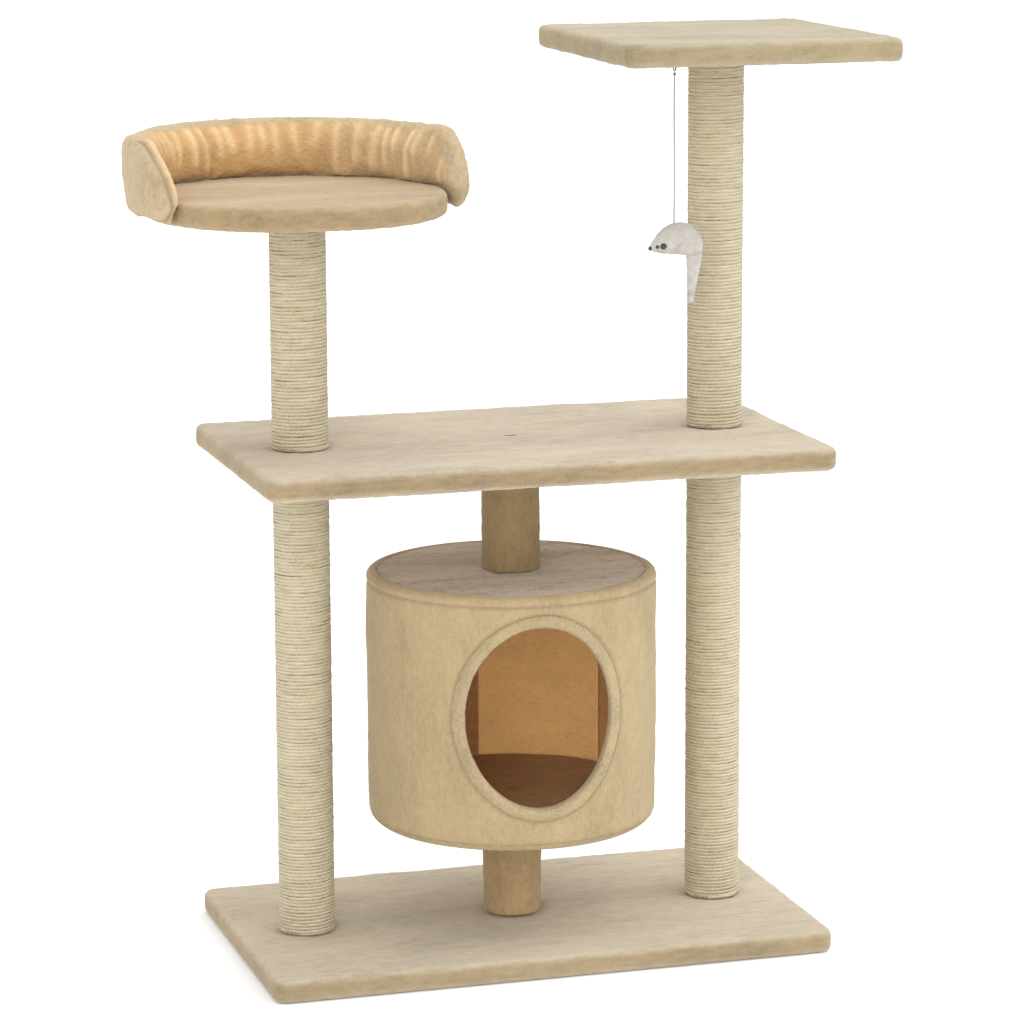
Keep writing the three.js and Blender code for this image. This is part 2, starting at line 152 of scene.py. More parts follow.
def loft(name, sections, look, ring=False):
    """A closed body through sections, an array of closed loops. A ring joins the last to the first."""
    sections = np.asarray(sections, float)
    count, around = sections.shape[:2]
    faces = grid_faces(count, around, wrap_rows=ring, wrap_columns=True)
    if not ring:
        faces.append(list(range(around)))
        faces.append(list(range((count - 1) * around, count * around)))
    return piece(name, sections, faces, look)


def resample(points, spacing=None, closed=False, count=None):
    """Even points along the straight lines through the given points: a count of them, or about
    one spacing apart."""
    points = np.asarray(points, float)
    if closed:
        points = np.vstack([points, points[:1]])
    run = np.concatenate([[0], np.cumsum(np.linalg.norm(np.diff(points, axis=0), axis=1))])
    count = count or max(3, round(run[-1] / spacing))
    at = np.linspace(0, run[-1], count, endpoint=not closed)
    return np.stack([np.interp(at, run, axis) for axis in points.T], -1)


def full_turn(count):
    """Even angles round a full turn."""
    return np.linspace(0, 2 * math.pi, count, endpoint=False)


def arc(centre, radius, start, end, steps):
    """Points on an arc between two angles in degrees."""
    angles = np.radians(np.linspace(start, end, steps))
    return [(centre[0] + radius * math.cos(a), centre[1] + radius * math.sin(a)) for a in angles]


def revolve(name, profile, axis, look, steps, closed=True):
    """Turns a profile of (radius, height) about a vertical axis at (x, y). A closed profile is
    joined from its last point to its first."""
    profile = np.asarray(profile, float)
    angles = full_turn(steps)
    points = np.empty((steps, len(profile), 3))
    points[..., 0] = axis[0] + np.cos(angles)[:, None] * profile[:, 0]
    points[..., 1] = axis[1] + np.sin(angles)[:, None] * profile[:, 0]
    points[..., 2] = profile[:, 1]
    return piece(name, points, grid_faces(steps, len(profile), True, closed), look)


def coordinates(obj):
    """The places of an object's vertices."""
    flat = np.empty(len(obj.data.vertices) * 3)
    obj.data.vertices.foreach_get("co", flat)
    return flat.reshape(-1, 3)


def move_to(obj, points):
    """Puts an object's vertices in new places."""
    obj.data.vertices.foreach_set("co", np.ascontiguousarray(points).ravel())
    obj.data.update()


def displace(obj, amount):
    """Moves each vertex along its normal by amount(points, normals)."""
    points = coordinates(obj)
    normals = np.empty(points.size)
    obj.data.vertex_normals.foreach_get("vector", normals)
    normals = normals.reshape(-1, 3)
    move_to(obj, points + normals * amount(points, normals)[:, None])


def modify(obj, kind, **settings):
    """Adds a modifier."""
    modifier = obj.modifiers.new(kind.lower(), kind)
    for key, value in settings.items():
        setattr(modifier, key, value)
    return modifier


def settle(obj):
    """Applies an object's modifiers to its mesh."""
    graph = bpy.context.evaluated_depsgraph_get()
    mesh = bpy.data.meshes.new_from_object(obj.evaluated_get(graph))
    worn = obj.data
    obj.modifiers.clear()
    obj.data = mesh
    bpy.data.meshes.remove(worn)


def carve(obj, *cutters):
    """Cuts the cutters' shapes out of an object and removes the cutters."""
    for cutter in cutters:
        modify(obj, "BOOLEAN", operation="DIFFERENCE", solver="EXACT", object=cutter)
    settle(obj)
    for cutter in cutters:
        bpy.data.objects.remove(cutter)


TUFT_CELL, LUMP_CELL, WAVE_CELL = 2.7 * MM, 8 * MM, 42 * MM


def nap(points, fine=0.35, lumps=0.3, waves=0.5, seed=0):
    """The uneven surface of plush: tufts, small lumps and broad waves, given in millimetres."""
    return MM * (
        fine * smooth_noise(points, TUFT_CELL, seed)
        + lumps * smooth_noise(points, LUMP_CELL, seed + 1)
        + waves * smooth_noise(points, WAVE_CELL, seed + 2)
    )


def write_attribute(obj, name, values):
    """A number for each vertex, which a material reads by its name."""
    layer = obj.data.attributes.new(name, "FLOAT", "POINT")
    layer.data.foreach_set("value", np.asarray(values, float).ravel())


def stand_in(obj, node, body="tree"):
    """Lets an object ride on a body in the place of a CAD node, and hides the node."""
    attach(obj, body)
    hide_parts(node)


def round_box(node):
    """The middle of a node's box, half its width, its underside and its top."""
    low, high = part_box(node)
    return (low + high) / 2, (high.x - low.x) / 2, low.z, high.z


def centre_of(node):
    """The middle of a node's box."""
    return round_box(node)[0]


# ---------------- materials

def srgb(red, green, blue):
    """A linear colour from 0 to 255 screen values."""
    def linear(value):
        value /= 255
        return value / 12.92 if value <= 0.04045 else ((value + 0.055) / 1.055) ** 2.4
    return (linear(red), linear(green), linear(blue), 1.0)


class Look:
    """A material with a Principled shader, and short calls that add nodes to it."""

    def __init__(self, name, **sockets):
        self.material = bpy.data.materials.new(name)
        self.material.use_nodes = True
        self.tree = self.material.node_tree
        self.shader = self.tree.nodes["Principled BSDF"]
        for socket, value in sockets.items():
            self.shader.inputs[socket.replace("_", " ")].default_value = value

    def add(self, kind, inputs, **settings):
        """Adds a node. An input is a value or another node's output."""
        node = self.tree.nodes.new(kind)
        for key, value in settings.items():
            setattr(node, key, value)
        for key, value in inputs.items():
            if isinstance(value, bpy.types.NodeSocket):
                self.tree.links.new(value, node.inputs[key])
            else:
                node.inputs[key].default_value = value
        return node

    def link(self, value, socket):
        """Feeds a node's output to the shader."""
        self.tree.links.new(value, self.shader.inputs[socket])

    def place(self, cell, turn=(0, 0, 0)):
        """Object coordinates in units of a cell, given for each axis."""
        where = self.add("ShaderNodeTexCoord", {}).outputs["Object"]
        turned = self.add("ShaderNodeMapping", {"Vector": where, "Rotation": turn}).outputs[0]
        scale = tuple(1 / size for size in cell)
        return self.add("ShaderNodeMapping", {"Vector": turned, "Scale": scale}).outputs[0]

    def noise(self, cell, detail=2.0, turn=(0, 0, 0)):
        """Noise from 0 to 1 in lumps about one cell across. A cell may differ by axis."""
        cell = cell if isinstance(cell, tuple) else (cell,) * 3
        return self.add("ShaderNodeTexNoise", {
            "Vector": self.place(cell, turn), "Scale": 1.0, "Detail": detail, "Roughness": 0.6,
        }).outputs["Fac"]

    def math(self, operation, first, second=0.0):
        return self.add("ShaderNodeMath", {0: first, 1: second}, operation=operation).outputs[0]

    def weigh(self, *pairs):
        """The sum of values times their weights, given in pairs."""
        total = None
        for value, weight in pairs:
            part = self.math("MULTIPLY", value, weight)
            total = part if total is None else self.math("ADD", total, part)
        return total

    def ramp(self, factor, stops):
        """A colour for each value, between stops of a position and a colour."""
        node = self.add("ShaderNodeValToRGB", {"Fac": factor})
        elements = node.color_ramp.elements
        while len(elements) < len(stops):
            elements.new(0.5)
        for element, (position, colour) in zip(elements, stops):
            element.position = position
            element.color = colour
        return node.outputs["Color"]

    def mix(self, factor, first, second):
        """Mixes two colours. A colour mix has its factor at input 0 and its colours at 6 and 7."""
        node = self.add("ShaderNodeMix", {0: factor, 6: first, 7: second}, data_type="RGBA")
        return node.outputs[2]

    def bump(self, height, depth):
        """Raises the surface's shading by a height from 0 to 1 times a depth."""
        node = self.add("ShaderNodeBump", {"Height": height, "Strength": 1.0, "Distance": depth})
        self.link(node.outputs[0], "Normal")

    def attribute(self, name):
        """The number that write_attribute left under a name."""
        return self.add("ShaderNodeAttribute", {}, attribute_name=name).outputs["Fac"]


SHADE = 0.3
LIGHT_SIDE = 0.22
PATCH_SIZE = 48 * MM
TUFT_SIZE = 1.5 * MM
PILE_DEPTH = 1.6 * MM
STRAND_PITCH = 5.4 * MM


def tones(colour, contrast):
    """Ramp stops for a colour: its shade, itself and its light side."""
    shade = tuple(part * (1 - SHADE * contrast) for part in colour[:3])
    light = tuple(min(1, part * (1 + LIGHT_SIDE * contrast)) for part in colour[:3])
    return [(0.36, (*shade, 1)), (0.5, colour), (0.64, (*light, 1))]


def plush(name, colour, side=None, lay=(1, 1, 1), brush=5, contrast=1.0, fold=None, ridge=None,
          crease=None, glow=0.0):
    """Brushed plush. lay stretches the brush marks, brush millimetres wide, along an axis.
    side is the colour of upright faces, where the pile is seen from its side; it is yellower there and
    darker as painted shade. fold, ridge and crease tint what the attributes of those names mark: fold
    the lining's own colour, ridge a painted highlight, crease painted shade in grooves and seams. glow
    is painted light, an emission of the tint."""
    colour = srgb(*colour)
    look = Look(name, Roughness=0.9, Sheen_Weight=0.25, Sheen_Roughness=0.45,
                Sheen_Tint=srgb(255, 244, 226), Specular_IOR_Level=0.15)
    patches = look.noise(tuple(PATCH_SIZE * s for s in lay), detail=3.0)
    marks = look.noise(tuple(brush * MM * s for s in lay), detail=3.0)
    tufts = look.noise(TUFT_SIZE, detail=1.0)
    tone = look.weigh((patches, 0.42), (marks, 0.36), (tufts, 0.22))
    tint = look.ramp(tone, tones(colour, contrast))
    # Upright faces take the side colour: yellower as the pile is seen from its side, and darker as
    # painted shade.
    if side:
        normal = look.add("ShaderNodeTexCoord", {}).outputs["Normal"]
        upward = look.add("ShaderNodeSeparateXYZ", {"Vector": normal}).outputs["Z"]
        level = look.math("SMOOTH_MAX", look.math("ABSOLUTE", upward), 0.0)
        tint = look.mix(level, look.ramp(tone, tones(srgb(*side), contrast)), tint)
    # ridge is a painted highlight and crease is painted shade; fold is the lining's own colour.
    for attribute, shade in (("fold", fold), ("ridge", ridge), ("crease", crease)):
        if shade:
            tint = look.mix(look.attribute(attribute), tint, srgb(*shade))
    look.link(tint, "Base Color")
    look.bump(look.weigh((tufts, 0.6), (marks, 0.4)), PILE_DEPTH)
    # Painted light: the tint is given off as a faint glow, standing in for light coming through the
    # plush.
    if glow:
        look.link(tint, "Emission Color")
        look.shader.inputs["Emission Strength"].default_value = glow
    return look.material


def fur_look():
    """Short soft fur in tufts that lie along the mouse."""
    look = Look("mouse_fur", Roughness=0.85, Sheen_Weight=0.5, Sheen_Roughness=0.4,
                Specular_IOR_Level=0.2)
    tufts = look.noise((1.6 * MM, 0.8 * MM, 0.8 * MM), detail=2.0)
    tone = look.weigh((look.noise(9 * MM), 0.5), (tufts, 0.5))
    look.link(look.ramp(tone, [(0.3, srgb(163, 156, 146)), (0.5, srgb(188, 182, 173)),
                               (0.7, srgb(205, 201, 195))]), "Base Color")
    look.bump(tufts, 1.2 * MM)
    return look.material


def sisal_look():
    """Rope of twisted fibres, which runs along the winding's attributes."""
    look = Look("sisal", Roughness=0.8, Sheen_Weight=0.15, Specular_IOR_Level=0.25)
    along = look.attribute("along")
    around = look.attribute("around")
    where = look.add("ShaderNodeCombineXYZ", {"X": along, "Y": around}).outputs[0]

    def streaks(scale):
        place = look.add("ShaderNodeMapping", {"Vector": where, "Scale": scale}).outputs[0]
        return look.add("ShaderNodeTexNoise", {
            "Vector": place, "Scale": 1.0, "Detail": 3.0}).outputs["Fac"]

    fibres = streaks((90, 1.6, 1))
    stretches = streaks((22, 0.01, 1))
    tone = look.weigh((fibres, 0.45), (stretches, 0.55))
    tint = look.ramp(tone, [(0.28, srgb(164, 147, 114)), (0.42, srgb(190, 178, 147)),
                            (0.56, srgb(202, 190, 162)), (0.72, srgb(212, 203, 179))])
    look.link(tint, "Base Color")
    strand_turns = look.weigh((along, 2 * math.pi / STRAND_PITCH), (around, 1.0))
    strands = look.math("SINE", strand_turns)
    look.bump(look.weigh((fibres, 1.0), (strands, 0.35)), 0.7 * MM)
    return look.material


def mottled(name, cell, dark, light, depth, detail=2.0, stops=(0.3, 0.7), turn=(0, 0, 0),
            **sockets):
    """A material mottled between two screen colours, in cells of some millimetres for each axis,
    that are raised by a depth in millimetres."""
    look = Look(name, **sockets)
    mottle = look.noise(tuple(size * MM for size in cell), detail, turn)
    colours = [(stops[0], srgb(*dark)), (stops[1], srgb(*light))]
    look.link(look.ramp(mottle, colours), "Base Color")
    if depth:
        look.bump(mottle, depth * MM)
    return look.material


def plate_plush(name, top, side):
    """Plush laid over a board, brushed along it, yellower on its edges and darker there as painted
    shade.
    """
    return plush(name, top, side=side, lay=(3.2, 1, 1), contrast=0.8)


# The base, shelf and platform wear one plush, given a different colour on each plate to paint how
# light and shade fall there; the platform's is darker, as painted shade.
base_plush = plate_plush("plush_base", (186, 173, 151), (152, 134, 103))
shelf_plush = plate_plush("plush_shelf", (190, 177, 157), (146, 126, 94))
shaded_platform_plush = plate_plush("plush_platform_shaded", (168, 157, 135), (150, 135, 104))
# The wall's crease colour is painted shade in the groove under the rim and the seam round the hem.
wall_plush = plush("plush_wall", (171, 151, 116), lay=(1, 1, 2.2), brush=4, contrast=0.65,
                   crease=(134, 112, 80))
hem_plush = plush("plush_hem", (171, 153, 119), brush=3, contrast=0.8)
# The roof's side colour is yellower and darker on its rounded edge, the darkening painted shade; its
# crease colour is painted shade in dashes along the seam at its edge.
roof_plush = plush("plush_roof", (180, 164, 148), side=(160, 140, 110),
                   lay=(5, 1, 1), brush=2.4, contrast=1.7, crease=(104, 90, 70))
# One plush on both short posts, set darker on the upper sleeve and lighter on the lower one: partly
# the pile, partly painted shade and painted light for how the light falls on each.
shaded_upper_post_plush = plush("plush_upper_post_shaded", (146, 123, 89), lay=(1, 1, 2))
lit_lower_post_plush = plush("plush_lower_post_lit", (166, 141, 104), lay=(1, 1, 2))
floor_plush = plush("plush_floor", (160, 114, 48), lay=(3, 1, 1))
# The panel's glow is painted light: a faint emission of its tint that stands in for light coming
# through the thin plush from behind.
panel_plush = plush("plush_panel", (214, 168, 108), lay=(2, 2, 1), brush=3, contrast=0.55,
                    glow=0.27)
# The bed's side colour is yellower and darker on its upright edge; the darkening is painted shade.
bed_plush = plush("plush_bed", (170, 148, 118), side=(152, 132, 98),
                  lay=(3.2, 1, 1), contrast=0.8)
# On the bolster the ridge colour is a painted highlight on the lining's pleats and the rolled end, and
# the crease colour is painted shade in the seam's groove; the fold colour is the lining's own orange.
bolster_plush = plush("plush_bolster", (179, 159, 127), lay=(1, 1, 1.6), contrast=0.8,
                      fold=(192, 152, 101), ridge=(226, 196, 150),
                      crease=(142, 128, 102))
sisal = sisal_look()
sisal_fibre = mottled("sisal_fibre", (0.6, 0.6, 2), (132, 108, 70), (198, 180, 140), 0.1,
                      Roughness=0.8, Specular_IOR_Level=0.25)
wood = mottled("board", (9, 4, 1.5), (120, 88, 54), (186, 150, 104), 0.4, detail=4.0,
               stops=(0.35, 0.65), Roughness=0.7, Specular_IOR_Level=0.3)
hardboard = mottled("hardboard", (3, 3, 6), (200, 150, 94), (220, 172, 114), 0.3, detail=4.0,
                    Roughness=0.6, Specular_IOR_Level=0.3)
paper = mottled("paper_tube", (2, 2, 9), (140, 114, 80), (176, 150, 112), 0.2, detail=4.0,
                Roughness=0.8, Specular_IOR_Level=0.2)
steel = mottled("steel", (1, 1, 12), (150, 152, 155), (190, 192, 196), 0.05, detail=3.0,
                Metallic=1.0, Roughness=0.35)
plastic = mottled("plug", (0.8, 0.8, 0.8), (34, 34, 36), (48, 48, 50), 0.1, detail=3.0,
                  Roughness=0.5, Specular_IOR_Level=0.4)
bead = mottled("bead", (1.4, 1.4, 1.4), (8, 8, 9), (26, 25, 26), 0.04, Roughness=0.12,
               Coat_Weight=0.6, Coat_Roughness=0.05)
thread = mottled("string", (0.5, 0.5, 1.6), (142, 134, 128), (180, 172, 166), 0.3,
                 stops=(0.35, 0.65), turn=(0.7, 0.4, 0), Roughness=0.75, Sheen_Weight=0.2,
                 Specular_IOR_Level=0.2)
studio_floor = mottled("floor", (600, 600, 600), (250, 250, 250), (253, 253, 253), 0,
                       Roughness=0.9, Specular_IOR_Level=0.0)
fur = fur_look()


# ---------------- toy string, the only cord

STRING_ROUTE = [
    (0, 0, 0), (0.0001, 0, -0.009), (0.0002, 0.0001, -0.019), (0.0003, 0.0001, -0.03),
    (0.0003, 0.0002, -0.041), (0.0002, 0.0002, -0.052), (0.0001, 0.0002, -0.063),
    (0, 0.0001, -0.074), (-0.0001, 0, -0.085), (-0.0002, 0, -0.096),
    (-0.0003, -0.0001, -0.107), (-0.0002, -0.0001, -0.118), (-0.0001, -0.0001, -0.129),
    (0, 0, -0.139), (0, 0, -0.147), (0, 0, -0.154),
]
STRING_LENGTH = 0.154
STRING_RADIUS = 0.9 * MM
KNOT_SIZE = 0.65 * MM
KNOT_DROP = 2.2 * MM


def curve_piece(name, points, radius, look, closed=False):
    """A round cord along points."""
    data = bpy.data.curves.new(name, "CURVE")
    data.dimensions = "3D"
    data.bevel_depth = radius
    data.bevel_resolution = 4
    data.use_fill_caps = not closed
    spline = data.splines.new("POLY")
    spline.points.add(len(points) - 1)
    for place, point in zip(spline.points, points):
        place.co = (*point, 1)
    spline.use_cyclic_u = closed
    data.materials.append(look)
    return add_object(name, data)


anchor = centre_of("toy_staple")
post_centre = centre_of("upper_right_post_tube")
towards_post = Vector((post_centre.x - anchor.x, post_centre.y - anchor.y)).normalized()
toy_axis = Vector((-towards_post.y, towards_post.x, 0))
toy_side = Vector((-toy_axis.y, toy_axis.x, 0))
string_top = Vector((anchor.x, anchor.y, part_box("toy_string")[1].z))


def from_string_top(x, y, z):
    """A point beside the string. x runs along the staple's crown."""
    return string_top + toy_axis * x + toy_side * y + Vector((0, 0, z))


string = curve_piece("string_thread", [from_string_top(*p) for p in STRING_ROUTE],
                     STRING_RADIUS, thread)
stand_in(string, "toy_string", "string")
knot_points = [from_string_top(KNOT_SIZE * (math.sin(t) + 1.4 * math.sin(2 * t)),
                               KNOT_SIZE * (math.cos(t) - 1.4 * math.cos(2 * t)),
                               -KNOT_DROP - 0.9 * KNOT_SIZE * math.sin(3 * t))
               for t in full_turn(48)]
knot = curve_piece("string_knot", knot_points, 0.75 * STRING_RADIUS, thread, closed=True)
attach(knot, "string")

loop_centre, _, loop_low, loop_high = round_box("toy_string_loop")
loop_radius = (loop_high - loop_low) / 2 - STRING_RADIUS
upward = Vector((0, 0, 1))
loop_points = [loop_centre + loop_radius * (math.sin(t) * upward + math.cos(t) * toy_side)
               for t in full_turn(40)]
loop = curve_piece("string_loop", loop_points, STRING_RADIUS, thread, closed=True)
stand_in(loop, "toy_string_loop", "loop")


# ---------------- plates

PLUSH_THICKNESS = 2.7 * MM
EDGE_RADIUS = 6.5 * MM
GRID_SPACING = 2.5 * MM
FLANGE_HOLE = 12 * MM
FLANGE_POCKET = 4 * MM
SLIT_SIZE = (14 * MM, 2.6 * MM)
HOLLOW_INSET = 9 * MM
CREASE_REACH = 26 * MM
CREASE_WIDTH = 1.8 * MM
DENT_DEPTH = 1.6 * MM
DENT_WIDTH = 9 * MM
EDGE_SINK = 0.3 * MM


def round_corner(x, y, half_x, half_y, corner):
    """Maps a rectangle's square corners onto round ones. Also gives the outward direction."""
    a = np.abs(x) - (half_x - corner)
    b = np.abs(y) - (half_y - corner)
    in_corner = (a > 0) & (b > 0)
    length = np.where(in_corner, np.hypot(a, b), 1)
    reach = np.maximum(a, b)
    new_a = np.where(in_corner, a * reach / length, a)
    new_b = np.where(in_corner, b * reach / length, b)
    out_x = np.where(in_corner, a / length, (a >= b).astype(float))
    out_y = np.where(in_corner, b / length, (b > a).astype(float))
    new_x = np.sign(x) * (half_x - corner + new_a)
    new_y = np.sign(y) * (half_y - corner + new_b)
    return new_x, new_y, np.sign(x) * out_x, np.sign(y) * out_y


def slab(name, low, high, corner, edge, look, spacing=GRID_SPACING):
    """A soft-edged slab filling a box: a fine grid on both faces and rounded sides."""
    low, high = Vector(low), Vector(high)
    middle = (low + high) / 2
    half_x = (high.x - low.x) / 2 - edge
    half_y = (high.y - low.y) / 2 - edge
    corner = max(corner - edge, 2 * MM)
    count_x = max(8, round(2 * half_x / spacing)) + 1
    count_y = max(8, round(2 * half_y / spacing)) + 1
    grid_x, grid_y = np.meshgrid(np.linspace(-half_x, half_x, count_x),
                                 np.linspace(-half_y, half_y, count_y), indexing="ij")
    x, y, out_x, out_y = round_corner(grid_x.ravel(), grid_y.ravel(), half_x, half_y, corner)
    size = len(x)
    top = np.stack([middle.x + x, middle.y + y, np.full(size, high.z)], -1)
    bottom = np.stack([middle.x + x, middle.y + y, np.full(size, low.z)], -1)
    index = np.arange(size).reshape(count_x, count_y)
    rim = np.concatenate([index[:-1, 0], index[-1, :-1], index[:0:-1, -1], index[0, :0:-1]])
    radius = min(edge, (high.z - low.z) / 2)
    profile = arc((0, high.z - radius), radius, 90, 0, 6)
    profile += arc((0, low.z + radius), radius, 0, -90, 6)
    profile = resample(profile, spacing)[1:-1]
    sides = np.empty((len(profile), len(rim), 3))
    for ring, (out, height) in zip(sides, profile):
        reach = out * edge / radius
        ring[:, 0] = middle.x + x[rim] + out_x[rim] * reach
        ring[:, 1] = middle.y + y[rim] + out_y[rim] * reach
        ring[:, 2] = height
    points = np.concatenate([top, bottom, sides.reshape(-1, 3)])
    faces = grid_faces(count_x, count_y)
    faces += grid_faces(count_x, count_y, first=size)
    faces += grid_faces(len(profile), len(rim), wrap_columns=True, first=2 * size)
    first_ring = 2 * size + np.arange(len(rim))
    last_ring = first_ring + (len(profile) - 1) * len(rim)
    for upper, lower in ((rim, first_ring), (last_ring, rim + size)):
        band = np.stack([upper, np.roll(upper, -1), np.roll(lower, -1), lower], -1)
        faces += band.tolist()
    return piece(name, points, faces, look)


def cylinder(radius, place, height, steps=48):
    """A plain upright cutter from place upwards."""
    x, y, z = place
    return revolve("cutter", [(0, z), (radius, z), (radius, z + height), (0, z + height)],
                   (x, y), None, steps, closed=False)


def block(centre, size):
    """A plain box cutter."""
    cube = bmesh.new()
    bmesh.ops.create_cube(cube, size=1)
    mesh = bpy.data.meshes.new("cutter")
    cube.to_mesh(mesh)
    cube.free()
    mesh.transform(Matrix.Translation(centre) @ Matrix.Diagonal((*size, 1)))
    return add_object("cutter", mesh)


def corner_creases(points, normals, low, high):
    """Where the plush is folded together at a plate's upright corners, from 0 to 1."""
    from_side = (high.x - low.x) / 2 - np.abs(points[:, 0] - (low.x + high.x) / 2)
    from_end = (high.y - low.y) / 2 - np.abs(points[:, 1] - (low.y + high.y) / 2)
    near = from_side + from_end < CREASE_REACH
    upright = 1 - soft_step(np.abs(normals[:, 2]), 0.5, 0.95)
    return near * upright * bump_at(from_side - from_end - 1.5 * MM, CREASE_WIDTH)


def post_dents(points, normals, posts):
    """Where a post's end presses its rim into the plush, from 0 to 1."""
    dent = np.zeros(len(points))
    for post in posts:
        axis, radius, _, _ = round_box(post)
        reach = from_axis(points, axis.x, axis.y)
        dent = np.maximum(dent, 1 - soft_step(reach, radius, radius + DENT_WIDTH))
    return dent * (normals[:, 2] > 0.5)


def plate(node, corner, look, flat_bottom=False, ripples=0.0, seed=0, cutters=(), posts=(),
          creases=1.3):
    """A board's plush cover. Its rounded edges hardly sink, so that the board stays covered.
    Where it has holes, they open into the space of the board."""
    low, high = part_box(node)
    body = slab(node.replace("cover", "plush"), low, high, corner, EDGE_RADIUS, look)

    def surface(points, normals):
        height = nap(points, seed=seed)
        height += MM * ripples * normals[:, 2] * smooth_noise(points, (0.03, 0.006, 0.05), seed + 5)
        height -= MM * creases * corner_creases(points, normals, low, high)
        height -= DENT_DEPTH * post_dents(points, normals, posts)
        slope = np.abs(normals[:, 2])
        on_edge = (slope > 0.25) & (slope < 0.97)
        height = np.where(on_edge, np.maximum(height, -EDGE_SINK), height)
        if flat_bottom:
            height = np.where(normals[:, 2] < -0.3, 0, height)
        return height

    displace(body, surface)
    if cutters:
        inset = Vector((HOLLOW_INSET, HOLLOW_INSET, PLUSH_THICKNESS))
        carve(body, block((low + high) / 2, high - low - 2 * inset), *cutters)
    stand_in(body, node)


bolt_pockets = []
for side in ("left", "middle", "right"):
    place = centre_of(f"base_bolt_{side}")
    bolt_pockets.append(cylinder(FLANGE_HOLE, (place.x, place.y, -5 * MM), 5 * MM + FLANGE_POCKET))
plate("base_cover", 14 * MM, base_plush, flat_bottom=True, ripples=0.8, seed=1,
      cutters=bolt_pockets,
      posts=("lower_left_post_sisal", "lower_right_post_sisal", "condo_lower_post_plush"))
slit_place = centre_of("shelf_bolt_middle")
slit_place.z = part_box("shelf_cover")[1].z
plate("shelf_cover", 14 * MM, shelf_plush, ripples=0.4, seed=11,
      cutters=[block(slit_place, (*SLIT_SIZE, 8 * MM))],
      posts=("upper_left_post_sisal", "upper_right_post_sisal"))
plate("platform_cover", 12 * MM, shaded_platform_plush, ripples=0.2, seed=21)
bed_low, bed_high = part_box("bed_cover")
bed_radius = (bed_high.x - bed_low.x) / 2
plate("bed_cover", bed_radius, bed_plush, ripples=0.3, seed=31, creases=0)


# ---------------- posts

ROPE_PITCH = 3.6 * MM
ROPE_RADIUS = 1.9 * MM
ROPE_STEPS = 60
ROPE_SIDES = 8
POST_SINK = 1 * MM
FIBRES = 14
FIBRE_RADIUS = 0.3 * MM
FIBRE_RINGS = 6
FIBRE_SIDES = 5


def sisal_post(node, seed):
    """Rope wound in one helix up the post, its first and last turns level."""
    axis, radius, low, high = round_box(node)
    coil_radius = radius - ROPE_RADIUS
    bottom = low + ROPE_RADIUS - POST_SINK
    rise = high - ROPE_RADIUS - bottom
    turns = rise / ROPE_PITCH + 2
    count = int(turns * ROPE_STEPS)
    turn = np.linspace(0, turns, count)
    angle = 2 * math.pi * turn + seed
    along = turn * 2 * math.pi * coil_radius
    level = bottom + ROPE_PITCH * np.clip(turn - 1, 0, turns - 2)
    line = np.stack([along, np.full(count, 0.1 * seed), np.zeros(count)], -1)
    level += 0.3 * MM * smooth_noise(line, 0.03, 3)
    out = coil_radius + 0.3 * MM * smooth_noise(line, 0.017, 4)
    thickness = ROPE_RADIUS * (1 + 0.1 * smooth_noise(line, 0.011, 5))
    section = full_turn(ROPE_SIDES)
    flat = np.sign(np.cos(section)) * np.abs(np.cos(section)) ** 0.6
    radial = out[:, None] + thickness[:, None] * (0.5 + 0.5 * flat)
    points = np.empty((count, ROPE_SIDES, 3))
    points[..., 0] = axis.x + np.cos(angle)[:, None] * radial
    points[..., 1] = axis.y + np.sin(angle)[:, None] * radial
    points[..., 2] = level[:, None] + thickness[:, None] * np.sin(section)
    rope = loft(node.replace("sisal", "rope"), points, sisal)
    displace(rope, lambda p, n: 0.22 * MM * smooth_noise(p, 1.7 * MM, seed))
    write_attribute(rope, "along", np.repeat(along, ROPE_SIDES))
    write_attribute(rope, "around", np.tile(section, count))
    stand_in(rope, node)
    rope_end(node.replace("sisal", "rope_end"), axis, coil_radius + ROPE_RADIUS, bottom, seed)


def rope_end(name, axis, radius, bottom, seed):
    """Loose fibres of the rope's tucked end, on the left front of a post's foot."""
    chance = np.random.default_rng(seed)
    up = np.array([0, 0, 1])
    points = []
    faces = []
    for _ in range(FIBRES):
        first = len(points)
        bearing = math.radians(chance.uniform(205, 245))
        lean = chance.uniform(-0.5, 0.5)
        reach = chance.uniform(3, 7) * MM
        droop = chance.uniform(0.5, 2.5) * MM
        out = np.array([math.cos(bearing), math.sin(bearing), 0])
        aside = np.array([-math.sin(bearing), math.cos(bearing), 0])
        level = bottom + chance.uniform(0.5, 2) * MM
        root = np.array([axis.x, axis.y, level]) + out * (radius - 0.8 * MM)
        for share in np.linspace(0, 1, FIBRE_RINGS):
            middle = root + reach * share * (out + lean * share * aside) - droop * share ** 2 * up
            size = FIBRE_RADIUS * (1 - 0.6 * share)
            for side in full_turn(FIBRE_SIDES):
                points.append(middle + size * (math.cos(side) * aside + math.sin(side) * up))
        faces += grid_faces(FIBRE_RINGS, FIBRE_SIDES, wrap_columns=True, first=first)
        faces.append(list(range(first, first + FIBRE_SIDES)))
        faces.append(list(range(len(points) - FIBRE_SIDES, len(points))))
    fibres = piece(name, points, faces, sisal_fibre)
    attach(fibres, "tree")


for number, node in enumerate(("lower_left_post_sisal", "lower_right_post_sisal",
                               "upper_left_post_sisal", "upper_right_post_sisal")):
    sisal_post(node, number + 1)


SLEEVE_THICKNESS = 5 * MM
SLEEVE_INSET = 0.4 * MM
SLEEVE_ROUNDING = 3 * MM
SLEEVE_SEAM = 0.4


